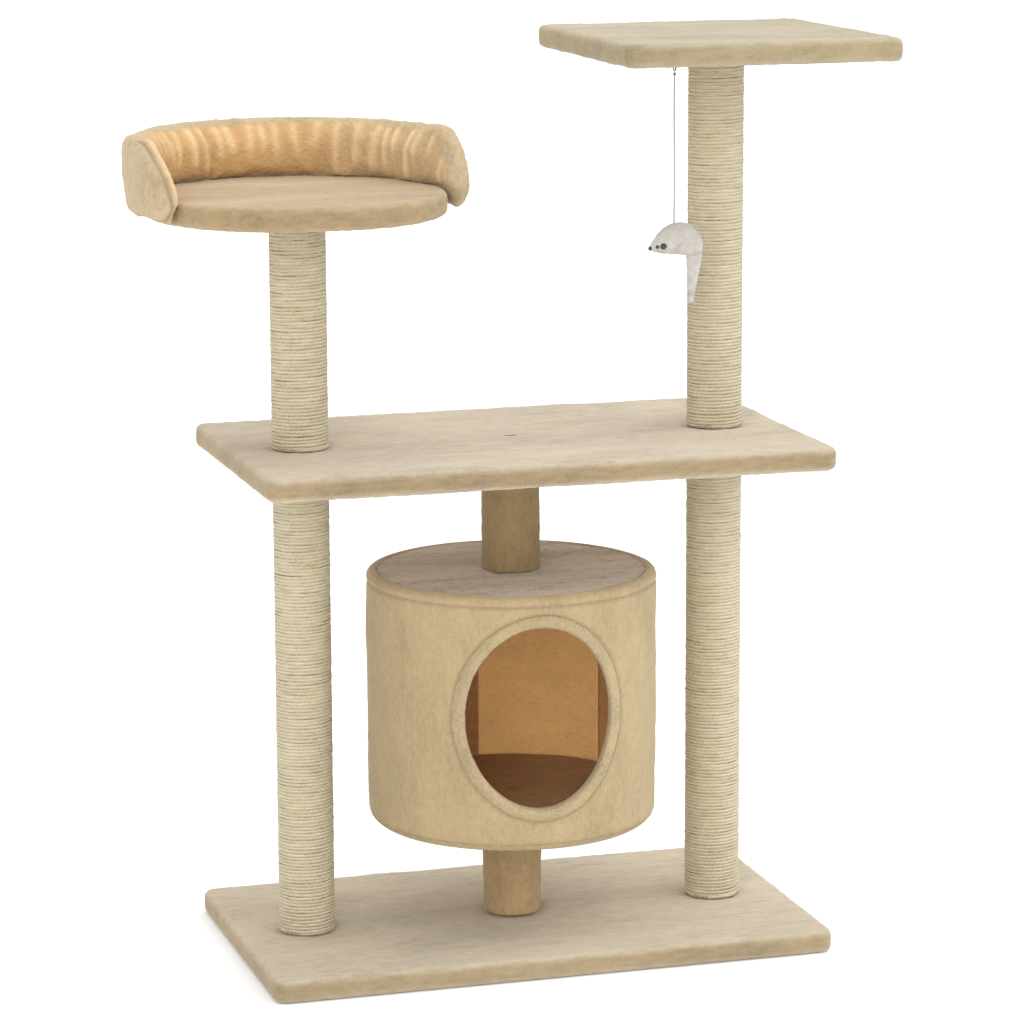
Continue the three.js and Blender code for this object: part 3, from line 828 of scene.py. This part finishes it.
def plush_post(node, look, seed):
    """A short post's plush sleeve, with the seam of its cloth at the back."""
    axis, radius, low, high = round_box(node)
    outer = radius - SLEEVE_INSET
    inner = outer - SLEEVE_THICKNESS
    bend = outer - SLEEVE_ROUNDING
    profile = arc((bend, low + SLEEVE_ROUNDING), SLEEVE_ROUNDING, -90, 0, 5)
    profile += arc((bend, high - SLEEVE_ROUNDING), SLEEVE_ROUNDING, 0, 90, 5)
    outside = resample(profile, 2 * MM)
    inside = np.array([(inner, high), (inner, low)])
    body = revolve(node.replace("plush", "sleeve"), np.concatenate([outside, inside]),
                   (axis.x, axis.y), look, 100)

    def surface(points, normals):
        reach = from_axis(points, axis.x, axis.y)
        bearing = np.arctan2(points[:, 0] - axis.x, points[:, 1] - axis.y)
        seam = bump_at((bearing - SLEEVE_SEAM) * outer, 1.6 * MM)
        height = nap(points, 0.3, 0.35, 0.9, seed) - 1.4 * MM * seam
        return np.where(reach > inner + 1 * MM, height, 0)

    displace(body, surface)
    stand_in(body, node)


plush_post("condo_lower_post_plush", lit_lower_post_plush, 41)
plush_post("condo_upper_post_plush", shaded_upper_post_plush, 51)


# ---------------- condo

CONDO_SPACING = 2.4 * MM
ROOF_INSET = 10.4 * MM
ROOF_EDGE = 1.3 * MM
WALL_THICKNESS = 2.55 * MM
LIP_WIDTH = 13 * MM
LIP_HEIGHT = 2.2 * MM
RIM_DEPTH = 9.4 * MM
RIM_WIDTH = 10.2 * MM
RIM_RADIUS = 6 * MM
SHELL_THICKNESS = 4 * MM
OPENING_HALF_WIDTH = 76 * MM
OPENING_HALF_HEIGHT = 95 * MM
OPENING_TURN = math.radians(-4.6)
HEM_WIDTH = 11.7 * MM
GAP_START = math.radians(2)
GAP_END = math.radians(57)
condo_low, condo_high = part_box("condo_wall_cover")
condo_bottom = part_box("condo_bottom_cover")[0].z
condo_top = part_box("condo_roof_cover")[1].z
condo_x = (condo_low.x + condo_high.x) / 2
condo_radius = (condo_high.x - condo_low.x) / 2
hem_low, hem_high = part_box("condo_opening_hem")
opening_z = (hem_low.z + hem_high.z) / 2
condo_axis = (condo_x, 0.0)


def from_opening(side, ahead, up):
    """Points from their distance beside, in front of and above the middle of the opening."""
    x = condo_x + side * math.cos(OPENING_TURN) + ahead * math.sin(OPENING_TURN)
    y = side * math.sin(OPENING_TURN) - ahead * math.cos(OPENING_TURN)
    return np.stack([x, y, opening_z + up], -1)


def opening_margin(points):
    """About how far each point is outside the opening's edge. Points behind are far outside."""
    x = points[:, 0] - condo_x
    y = points[:, 1]
    side = x * math.cos(OPENING_TURN) + y * math.sin(OPENING_TURN)
    ahead = x * math.sin(OPENING_TURN) - y * math.cos(OPENING_TURN)
    up = points[:, 2] - opening_z
    share = np.hypot(side / OPENING_HALF_WIDTH, up / OPENING_HALF_HEIGHT)
    slope = np.hypot(side / OPENING_HALF_WIDTH ** 2, up / OPENING_HALF_HEIGHT ** 2)
    margin = (share - 1) * share / np.maximum(slope, 1e-6)
    return np.where(ahead > 0, margin, 1.0)


def opening_cutter(margin):
    """An oval bar that passes through the front wall only."""
    turns = full_turn(160)
    side = (OPENING_HALF_WIDTH + margin) * np.cos(turns)
    up = (OPENING_HALF_HEIGHT + margin) * np.sin(turns)
    return loft("cutter", [from_opening(side, ahead, up) for ahead in (0.02, 0.2)], None)


def condo_wall():
    """The wall's plush, with a rolled rim at the top and its lower edge turned under."""
    radius = condo_radius
    top = condo_top
    lip = condo_bottom + LIP_HEIGHT
    backing = radius - WALL_THICKNESS
    outside = arc((radius - LIP_WIDTH, condo_bottom + 10 * MM), 12 * MM, -90, 0, 9)
    outside += [(radius + 0.7 * MM, top - RIM_DEPTH - 5 * MM),
                (radius + 0.4 * MM, top - RIM_DEPTH - 1.6 * MM),
                (radius - 1.4 * MM, top - RIM_DEPTH)]
    outside += arc((radius - 5.2 * MM, top - 5.6 * MM), RIM_RADIUS, -20, 100, 12)
    outside += [(radius - 9.4 * MM, top - 0.4 * MM), (radius - RIM_WIDTH, top - 1.6 * MM)]
    outside = resample(outside, CONDO_SPACING)
    inside = np.array([(radius - RIM_WIDTH, top - 2.4 * MM), (backing, top - 2.6 * MM),
                       (backing, opening_z), (backing, lip), (radius - LIP_WIDTH, lip)])
    steps = round(2 * math.pi * radius / CONDO_SPACING)
    body = revolve("condo_wall_plush", np.concatenate([outside, inside]), condo_axis,
                   wall_plush, steps)
    carve(body, opening_cutter(HEM_WIDTH - 2 * MM))

    def surface(points, normals):
        reach = from_axis(points, condo_x)
        height = nap(points, 0.3, 0.35, 1.0, 61)
        height -= 2.3 * MM * bump_at(opening_margin(points) - HEM_WIDTH, 2.6 * MM)
        height = np.maximum(height, backing + 0.4 * MM - reach)
        turned_in = (points[:, 2] < lip + 0.5 * MM) | (points[:, 2] > top - 2.5 * MM)
        return np.where(reach > backing + 0.6 * MM, height, np.where(turned_in, 0.3 * height, 0))

    points = coordinates(body)
    groove = bump_at(points[:, 2] - (top - RIM_DEPTH), 1.7 * MM)
    seam = bump_at(opening_margin(points) - HEM_WIDTH - 1 * MM, 2 * MM)
    displace(body, surface)
    # Painted shade in the groove under the rim and in the seam beside the hem.
    write_attribute(body, "crease", 0.4 * np.maximum(groove, seam))
    stand_in(body, "condo_wall_cover")


def condo_disc(name, inset, low, high, look, spacing):
    """A round sheet of plush between two heights, smaller than the condo by an inset."""
    radius = condo_radius - inset
    return slab(name, (condo_x - radius, -radius, low), (condo_x + radius, radius, high), radius,
                ROOF_EDGE, look, spacing)


def condo_roof():
    """The roof's ribbed plush, stitched along its edge, where dashes of painted shade darken the seam.
    """
    roof = condo_disc("condo_roof_plush", ROOF_INSET, condo_top - PLUSH_THICKNESS, condo_top,
                      roof_plush, 1.6 * MM)

    def surface(points, normals):
        ribs = 0.6 * smooth_noise(points, (0.013, 0.0034, 0.1), 71)
        ribs += 0.4 * smooth_noise(points, (0.03, 0.006, 0.1), 72)
        crown = (0.8 + ribs) * MM * (normals[:, 2] > 0.5)
        return nap(points, 0.35, 0.3, 0.4, 73) * (normals[:, 2] > -0.5) + crown

    points = coordinates(roof)
    reach = from_axis(points, condo_x)
    # Dashes of painted shade along the seam at the roof's edge.
    seam_shade_dashes = smooth_noise(points, 7 * MM, 75) > -0.2
    displace(roof, surface)
    edge = bump_at(condo_radius - ROOF_INSET - reach, 2 * MM)
    write_attribute(roof, "crease", 0.8 * seam_shade_dashes * edge)
    stand_in(roof, "condo_roof_cover")


def condo_underside():
    """The plush under the condo's floor, inside the wall's turned edge."""
    under = condo_disc("condo_underside_plush", 12.5 * MM, condo_bottom,
                       condo_bottom + PLUSH_THICKNESS, wall_plush, 3 * MM)
    displace(under, lambda p, n: nap(p, seed=81) * (n[:, 2] < 0))
    stand_in(under, "condo_bottom_cover")


def condo_floor():
    """The plush on the condo's floor, with the slit over its bolt."""
    low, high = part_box("condo_floor_cover")
    floor = slab("condo_floor_plush", low, high, (high.x - low.x) / 2, ROOF_EDGE, floor_plush,
                 2.4 * MM)
    displace(floor, lambda p, n: nap(p, 0.35, 0.4, 0.3, 91) * (n[:, 2] > 0.5))
    carve(floor, block((low + high) / 2, (*SLIT_SIZE, 20 * MM)))
    stand_in(floor, "condo_floor_cover")


def wall_sector(name, start, end, low, high, inner, outer, look, rows=40):
    """A curved strip of wall between two angles measured from +Y towards +X."""
    steps = max(8, round((end - start) * outer / (3 * MM)))
    rise = np.linspace(low, high, rows)
    loop = np.array([(inner, z) for z in rise] + [(outer, z) for z in rise[::-1]])
    sections = []
    for angle in np.linspace(start, end, steps):
        sections.append(np.stack([condo_x + loop[:, 0] * math.sin(angle),
                                  loop[:, 0] * math.cos(angle), loop[:, 1]], -1))
    return loft(name, sections, look)


def condo_shell():
    """The rolled hardboard, and the plush panel in the gap between its two ends."""
    _, outer, low, high = round_box("condo_wall_shell")
    inner = outer - SHELL_THICKNESS
    shell = wall_sector("condo_shell_board", GAP_END, 2 * math.pi + GAP_START, low, high, inner,
                        outer, hardboard)
    carve(shell, opening_cutter(2 * MM))
    stand_in(shell, "condo_wall_shell")
    clearance = 0.6 * MM / outer
    _, _, low, high = round_box("condo_back_panel")
    panel = wall_sector("condo_panel_plush", GAP_START + clearance, GAP_END - clearance, low,
                        high, inner, outer, panel_plush, 90)

    def surface(points, normals):
        reach = from_axis(points, condo_x)
        return np.where(reach < inner + 1 * MM, nap(points, 0.3, 0.4, 0.8, 101), 0)

    displace(panel, surface)
    stand_in(panel, "condo_back_panel")


def condo_hem():
    """The puffed band round the opening, whose lip lines the edge of the shell."""
    section = np.array([
        (12.4, -0.8), (11.8, 0.8), (9.6, 2.5), (6.6, 3.3), (3.6, 2.9), (1.2, 1.3), (0.1, -1.2),
        (-0.2, -4.5), (0, -8), (0.5, -9.6), (1.3, -9.6), (1.7, -8), (1.7, -2.7), (6, -2.6),
        (12, -2.4)]) * MM
    section = resample(section, 1.1 * MM, closed=True)
    sections = []
    for turn in full_turn(400):
        side = (OPENING_HALF_WIDTH + section[:, 0]) * math.cos(turn)
        up = (OPENING_HALF_HEIGHT + section[:, 0]) * math.sin(turn)
        reach = condo_radius + section[:, 1]
        sections.append(from_opening(side, np.sqrt(reach ** 2 - side ** 2), up))
    hem = loft("condo_hem_plush", sections, hem_plush, ring=True)

    def surface(points, normals):
        reach = from_axis(points, condo_x)
        outside = soft_step(reach, condo_radius - 3 * MM, condo_radius)
        return outside * nap(points, 0.7, 0.5, 0.5, 111)

    displace(hem, surface)
    stand_in(hem, "condo_opening_hem")


condo_wall()
condo_roof()
condo_underside()
condo_floor()
condo_shell()
condo_hem()


# ---------------- bed bolster

BOLSTER_VOXEL = 5 * MM
BOLSTER_PRESSURE = 4.0
BOLSTER_FRAMES = 20
BOLSTER_SWELL = 8 * MM
BOLSTER_SHRINK = 8 * MM
BOLSTER_STATIONS = 90
BOLSTER_AROUND = 56
BOLSTER_START = math.radians(76)
BOLSTER_END = math.radians(302)
CREST_START = math.radians(101)
CREST_END = math.radians(278)
END_HEIGHT = 30 * MM
LINING_REACH = 150 * MM
ROLL_REACH = 158 * MM
SEAM_REACH = 167 * MM
bed_x = (bed_low.x + bed_high.x) / 2
bed_z = bed_low.z
bed_thickness = bed_high.z - bed_low.z
bolster_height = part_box("bed_bolster")[1].z - bed_z


def crest_height(angle):
    """The rim's height above the bed's underside, by the angle from -Y towards +X."""
    rise = np.clip((angle - BOLSTER_START) / (CREST_START - BOLSTER_START), 0, 1)
    fall = np.clip((BOLSTER_END - angle) / (BOLSTER_END - CREST_END), 0, 1)
    share = np.minimum(rise, fall)
    return END_HEIGHT + (bolster_height - END_HEIGHT) * np.sin(0.5 * math.pi * share)


def bolster_sections():
    """Sections of the wall from its right end round the back to its left end. The start shape is
    taller than the wall, because the simulation pulls the rim down."""
    plate_top = bed_thickness / MM
    beside_plate = bed_radius / MM + 0.5
    sections = []
    for angle in np.linspace(BOLSTER_START, BOLSTER_END, BOLSTER_STATIONS):
        rim = max((crest_height(angle) + BOLSTER_SHRINK) / MM, plate_top + 4)
        section = np.array([
            (beside_plate, 2), (beside_plate, plate_top), (147, plate_top + 2),
            (148, 0.5 * (plate_top + rim)), (151, rim - 12), (157, rim - 4), (163, rim - 3),
            (169, rim - 6), (172, rim - 14), (172.5, 0.5 * rim), (169, 12), (163, 4)])
        section[:, 1] = np.minimum(section[:, 1], rim)
        section = resample(section * MM, 4 * MM, closed=True)
        section = resample(section, closed=True, count=BOLSTER_AROUND)
        end = min(angle - BOLSTER_START, BOLSTER_END - angle)
        taper = math.sqrt(min(1, 0.05 + end / 0.09))
        centre = section.mean(axis=0)
        reach, level = (centre + (section - centre) * taper).T
        sections.append(np.stack([bed_x + reach * math.sin(angle), -reach * math.cos(angle),
                                  bed_z + level], -1))
    return sections


def inflate(obj):
    """Fills a closed piece with air as cloth, and caps how far each point moves."""
    start = coordinates(obj)
    cloth = modify(obj, "CLOTH")
    cloth.settings.use_pressure = True
    cloth.settings.uniform_pressure_force = BOLSTER_PRESSURE
    cloth.settings.effector_weights.gravity = 0
    cloth.settings.quality = 4
    cloth.point_cache.frame_start = 1
    cloth.point_cache.frame_end = BOLSTER_FRAMES
    for step in range(1, BOLSTER_FRAMES + 1):
        bpy.context.scene.frame_set(step)
    graph = bpy.context.evaluated_depsgraph_get()
    shown = obj.evaluated_get(graph).data
    flat = np.empty(len(shown.vertices) * 3)
    shown.vertices.foreach_get("co", flat)
    obj.modifiers.clear()
    bpy.context.scene.frame_set(1)
    moved = flat.reshape(-1, 3) - start
    distance = np.linalg.norm(moved, axis=1)
    share = np.minimum(1, BOLSTER_SWELL / np.maximum(distance, 1e-9))
    move_to(obj, start + moved * share[:, None])


PLEAT_SEED = 5
FIRST_PLEAT = 0.12


def pleats(angle, height):
    """How far the gathered cloth of the bed's wall stands up in pleats, from 0 to 1."""
    chance = np.random.default_rng(PLEAT_SEED)
    ridge = np.zeros(len(angle))
    place = BOLSTER_START + FIRST_PLEAT
    while place < BOLSTER_END - 0.1:
        lean = chance.uniform(-0.08, 0.08)
        width = chance.uniform(3.4, 6.4) * MM
        strength = chance.uniform(0.55, 1.0)
        bottom = chance.uniform(-0.1, 0.45)
        line = place + lean * (height - 0.5)
        fade = soft_step(height, bottom - 0.1, bottom + 0.3)
        ridge = np.maximum(ridge, strength * fade * bump_at((angle - line) * bed_radius, width))
        place += chance.uniform(13, 27) * MM / bed_radius
    return ridge


def clear_of_plate(body):
    """Moves what lies beside the bed's plate out of it."""
    points = coordinates(body)
    reach = from_axis(points, bed_x)
    level = points[:, 2] - bed_z
    beside = (level < bed_thickness + 0.5 * MM) & (level > -1 * MM)
    wanted = np.where(beside, np.maximum(reach, bed_radius - 1.5 * MM), reach)
    points[:, 0] = bed_x + (points[:, 0] - bed_x) * wanted / reach
    points[:, 1] = points[:, 1] * wanted / reach
    move_to(body, points)


def bolster():
    """The bed's padded wall: inflated, pleated on its lining and folded over at its left end."""
    body = loft("bed_bolster_padding", bolster_sections(), None)
    modify(body, "REMESH", mode="VOXEL", voxel_size=BOLSTER_VOXEL)
    settle(body)
    inflate(body)
    modify(body, "SMOOTH", iterations=3)
    modify(body, "SUBSURF", levels=2, render_levels=2)
    settle(body)
    points = coordinates(body)
    angle = np.arctan2(points[:, 0] - bed_x, -points[:, 1]) % (2 * math.pi)
    reach = from_axis(points, bed_x)
    level = points[:, 2] - bed_z
    height = np.clip((level - bed_thickness) / (crest_height(angle) - bed_thickness), 0, 1.3)
    inner = 1 - soft_step(reach, LINING_REACH, LINING_REACH + 8 * MM)
    above = soft_step(level, bed_thickness - 1 * MM, bed_thickness + 5 * MM)
    ridges = pleats(angle, height) * inner * above
    wrinkles = pleats(angle + 0.3, 1.2 - height) * (1 - inner)
    gathers = soft_step(height, 1.15, 0.85)
    at_end = soft_step(angle, CREST_END - 0.12, CREST_END)
    seam = at_end * bump_at(reach - SEAM_REACH, 3.4 * MM)
    roll = at_end * bump_at(reach - ROLL_REACH, 5 * MM)
    folds = 2.8 * ridges * gathers + 1.2 * wrinkles - 1.0 * inner - 3.4 * seam + 1.4 * roll
    displace(body, lambda p, n: nap(p, 0.45, 0.35, 0.9, 121) + MM * folds)
    clear_of_plate(body)
    warm = 0.95 - 0.6 * soft_step(angle, math.radians(200), math.radians(110))
    lining = inner * above * soft_step(height, 1.06, 0.86)
    write_attribute(body, "fold", np.clip(np.maximum(lining * warm, 0.5 * roll), 0, 1))
    # Painted highlight on the pleat ridges of the lining and on the rolled end; painted shade in the
    # seam's groove.
    write_attribute(body, "ridge", np.clip(np.maximum(0.8 * lining * ridges, 0.6 * roll), 0, 1))
    write_attribute(body, "crease", 0.8 * seam)
    body.data.shade_smooth()
    body.data.materials.append(bolster_plush)
    stand_in(body, "bed_bolster")


bolster()


# ---------------- mouse

MOUSE_YAW = math.radians(8)
MOUSE_LENGTH = 61 * MM
MOUSE_RADIUS = 17.4 * MM
MOUSE_WIDTH_RATIO = 0.84
MOUSE_ARCH = 8.4 * MM
MOUSE_STATIONS = [(0, 0), (0.15, 0.018), (0.24, 0.05), (0.43, 0.11), (0.71, 0.22), (0.86, 0.35),
                  (0.935, 0.46), (1, 0.61), (0.955, 0.74), (0.75, 0.86), (0.46, 0.95), (0, 1)]
STRING_STATION = MOUSE_STATIONS[6]


def arch_at(x):
    """How far the mouse's middle line rises, at a distance from the nose."""
    return MOUSE_ARCH * np.sin(math.pi * np.clip(x / MOUSE_LENGTH, 0, 1))


back_z = string_top.z - STRING_LENGTH - 0.3 * MM
nose_x = -STRING_STATION[1] * MOUSE_LENGTH
nose_z = -STRING_STATION[0] * MOUSE_RADIUS - arch_at(-nose_x)
mouse_frame = Matrix.Translation((anchor.x, anchor.y, back_z)) @ Matrix.Rotation(MOUSE_YAW, 4, "Z")


def in_mouse(x, y, z):
    """Points given from the string's end, x from nose to rear, in the tree's frame."""
    points = np.stack(np.broadcast_arrays(x, y, z), -1)
    return points @ np.array(mouse_frame.to_3x3()).T + np.array(mouse_frame.translation)


def mouse_body():
    """The arched body, rounder below than above and slightly narrow."""
    stations = np.array(MOUSE_STATIONS)
    shares = 0.5 - 0.5 * np.cos(np.linspace(0.06, math.pi - 0.06, 64))
    radii = np.interp(shares, stations[:, 1], stations[:, 0])
    radii = np.convolve(np.pad(radii, 2, mode="edge"), np.ones(5) / 5, mode="valid")
    angles = full_turn(72)
    sections = []
    for share, radius in zip(shares, radii * MOUSE_RADIUS):
        belly = np.where(np.sin(angles) < 0, 0.9 + 0.12 * share, 1.0)
        sections.append(in_mouse(
            nose_x + share * MOUSE_LENGTH, radius * MOUSE_WIDTH_RATIO * np.cos(angles),
            nose_z + arch_at(share * MOUSE_LENGTH) + radius * belly * np.sin(angles)))
    body = loft("mouse_fur_body", sections, fur)
    displace(body, lambda p, n: MM * (0.45 * smooth_noise(p, 1.5 * MM, 131)
                                      + 0.35 * smooth_noise(p, 4.5 * MM, 132)))
    stand_in(body, "mouse_body", "mouse")


TAIL_LENGTH = 59 * MM
TAIL_START = 5 * MM
TAIL_STATIONS = [(0, -0.5, -18.8, 7), (-6, -0.7, -19.0, 6.5), (-13, -1.6, -18.4, 6),
                 (-21, -3, -18.0, 5.4), (-34, -6, -17.6, 5), (-44, -8, -17.0, 4.8),
                 (-52, -9.5, -16.4, 4.4), (-57, -10.4, -15.8, 3.4), (-59, -11.6, -14.6, 1.4)]


def mouse_tail():
    """A fur strip that leaves the rear and hangs, wider and thicker at the top. A station is its
    drop, where its sides are behind the rear, and its thickness, in millimetres."""
    rear = nose_x + MOUSE_LENGTH
    stations = np.array(TAIL_STATIONS) * MM
    at = np.linspace(0, len(stations) - 1, 60)
    rows = np.stack([np.interp(at, range(len(stations)), column) for column in stations.T], -1)
    angles = full_turn(36)
    flat = np.sign(np.cos(angles)) * np.abs(np.cos(angles)) ** 0.8
    sections = []
    for drop, right, left, thick in rows:
        sections.append(in_mouse(
            rear + (right + left) / 2 + (right - left) / 2 * flat, 0.5 * thick * np.sin(angles),
            nose_z - TAIL_START + drop * (TAIL_LENGTH - TAIL_START) / TAIL_LENGTH))
    tail = loft("mouse_fur_tail", sections, fur)
    displace(tail, lambda p, n: MM * (0.4 * smooth_noise(p, 1.5 * MM, 141)
                                      + 0.3 * smooth_noise(p, 5 * MM, 142)))
    stand_in(tail, "mouse_tail", "mouse")


def bead_piece(name, centre, radii, node=None):
    """A round glossy bead. It stands in for a node where one is given."""
    angles = full_turn(24)
    sections = []
    for tilt in np.linspace(-math.pi / 2 + 0.08, math.pi / 2 - 0.08, 14):
        ring = math.cos(tilt)
        sections.append(in_mouse(centre[0] + radii[0] * ring * np.cos(angles),
                                 centre[1] + radii[1] * math.sin(tilt),
                                 centre[2] + radii[2] * ring * np.sin(angles)))
    obj = loft(name, sections, bead)
    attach(obj, "mouse")
    if node:
        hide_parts(node)


mouse_body()
mouse_tail()
EYE_RADIUS = 3.4 * MM
EYE_STATION = (0.62, 0.19)
NOSE_RADIUS = 2.3 * MM
SPOT_BACK = 6 * MM
SPOT_OUT = 6.1 * MM
SPOT_RADII = (1.9 * MM, 1.5 * MM, 1.9 * MM)
spot_z = nose_z + arch_at(SPOT_BACK) - 0.6 * MM
eye_x = nose_x + EYE_STATION[1] * MOUSE_LENGTH
eye_z = nose_z + arch_at(EYE_STATION[1] * MOUSE_LENGTH) - 0.6 * EYE_RADIUS
eye_out = EYE_STATION[0] * MOUSE_RADIUS * MOUSE_WIDTH_RATIO
for side, label in ((-1, "left"), (1, "right")):
    bead_piece(f"mouse_bead_{label}", (eye_x, side * eye_out, eye_z),
               (EYE_RADIUS, EYE_RADIUS, EYE_RADIUS * 0.95), f"mouse_eye_{label}")
    bead_piece(f"mouse_whisker_spot_{label}", (nose_x + SPOT_BACK, side * SPOT_OUT, spot_z),
               SPOT_RADII)
bead_piece("mouse_nose_bead", (nose_x + 0.4 * NOSE_RADIUS, 0, nose_z),
           (NOSE_RADIUS, NOSE_RADIUS, NOSE_RADIUS), "mouse_nose")


# ---------------- CAD nodes that stay

STAYING = {"_board": wood, "_tube": paper, "_plug": plastic, "bolt": steel, "stud": steel,
           "staple": steel}
for name, node in nodes.items():
    for part, look in STAYING.items():
        if part in name:
            node.data.materials.clear()
            node.data.materials.append(look)


# ---------------- stage and light

FLOOR_LEVEL = -0.3 * MM
floor = piece("floor", [(-40, -40, FLOOR_LEVEL), (40, -40, FLOOR_LEVEL), (40, 60, FLOOR_LEVEL),
                        (-40, 60, FLOOR_LEVEL)], [[0, 1, 2, 3]], studio_floor)

world = bpy.data.worlds.new("studio")
world.use_nodes = True
background = world.node_tree.nodes["Background"].inputs
background["Color"].default_value = (1, 1, 1, 1)
background["Strength"].default_value = 0.9
bpy.context.scene.world = world
bpy.context.scene.view_settings.view_transform = "Standard"


def soft_light(name, source, spread, strength, colour=(1, 1, 1)):
    """Even studio light from one side, softened over a wide angle."""
    data = bpy.data.lights.new(name, "SUN")
    data.angle = math.radians(spread)
    data.energy = strength
    data.color = colour
    light = add_object(name, data)
    light.rotation_euler = Vector(source).to_track_quat("Z", "Y").to_euler()


soft_light("overhead", (0.3, 0.1, 1), 70, 1.5)
soft_light("right", (1, -0.35, 0.4), 60, 1.05, (0.82, 0.9, 1))
soft_light("front", (-0.5, -1, 0.35), 40, 1.1)
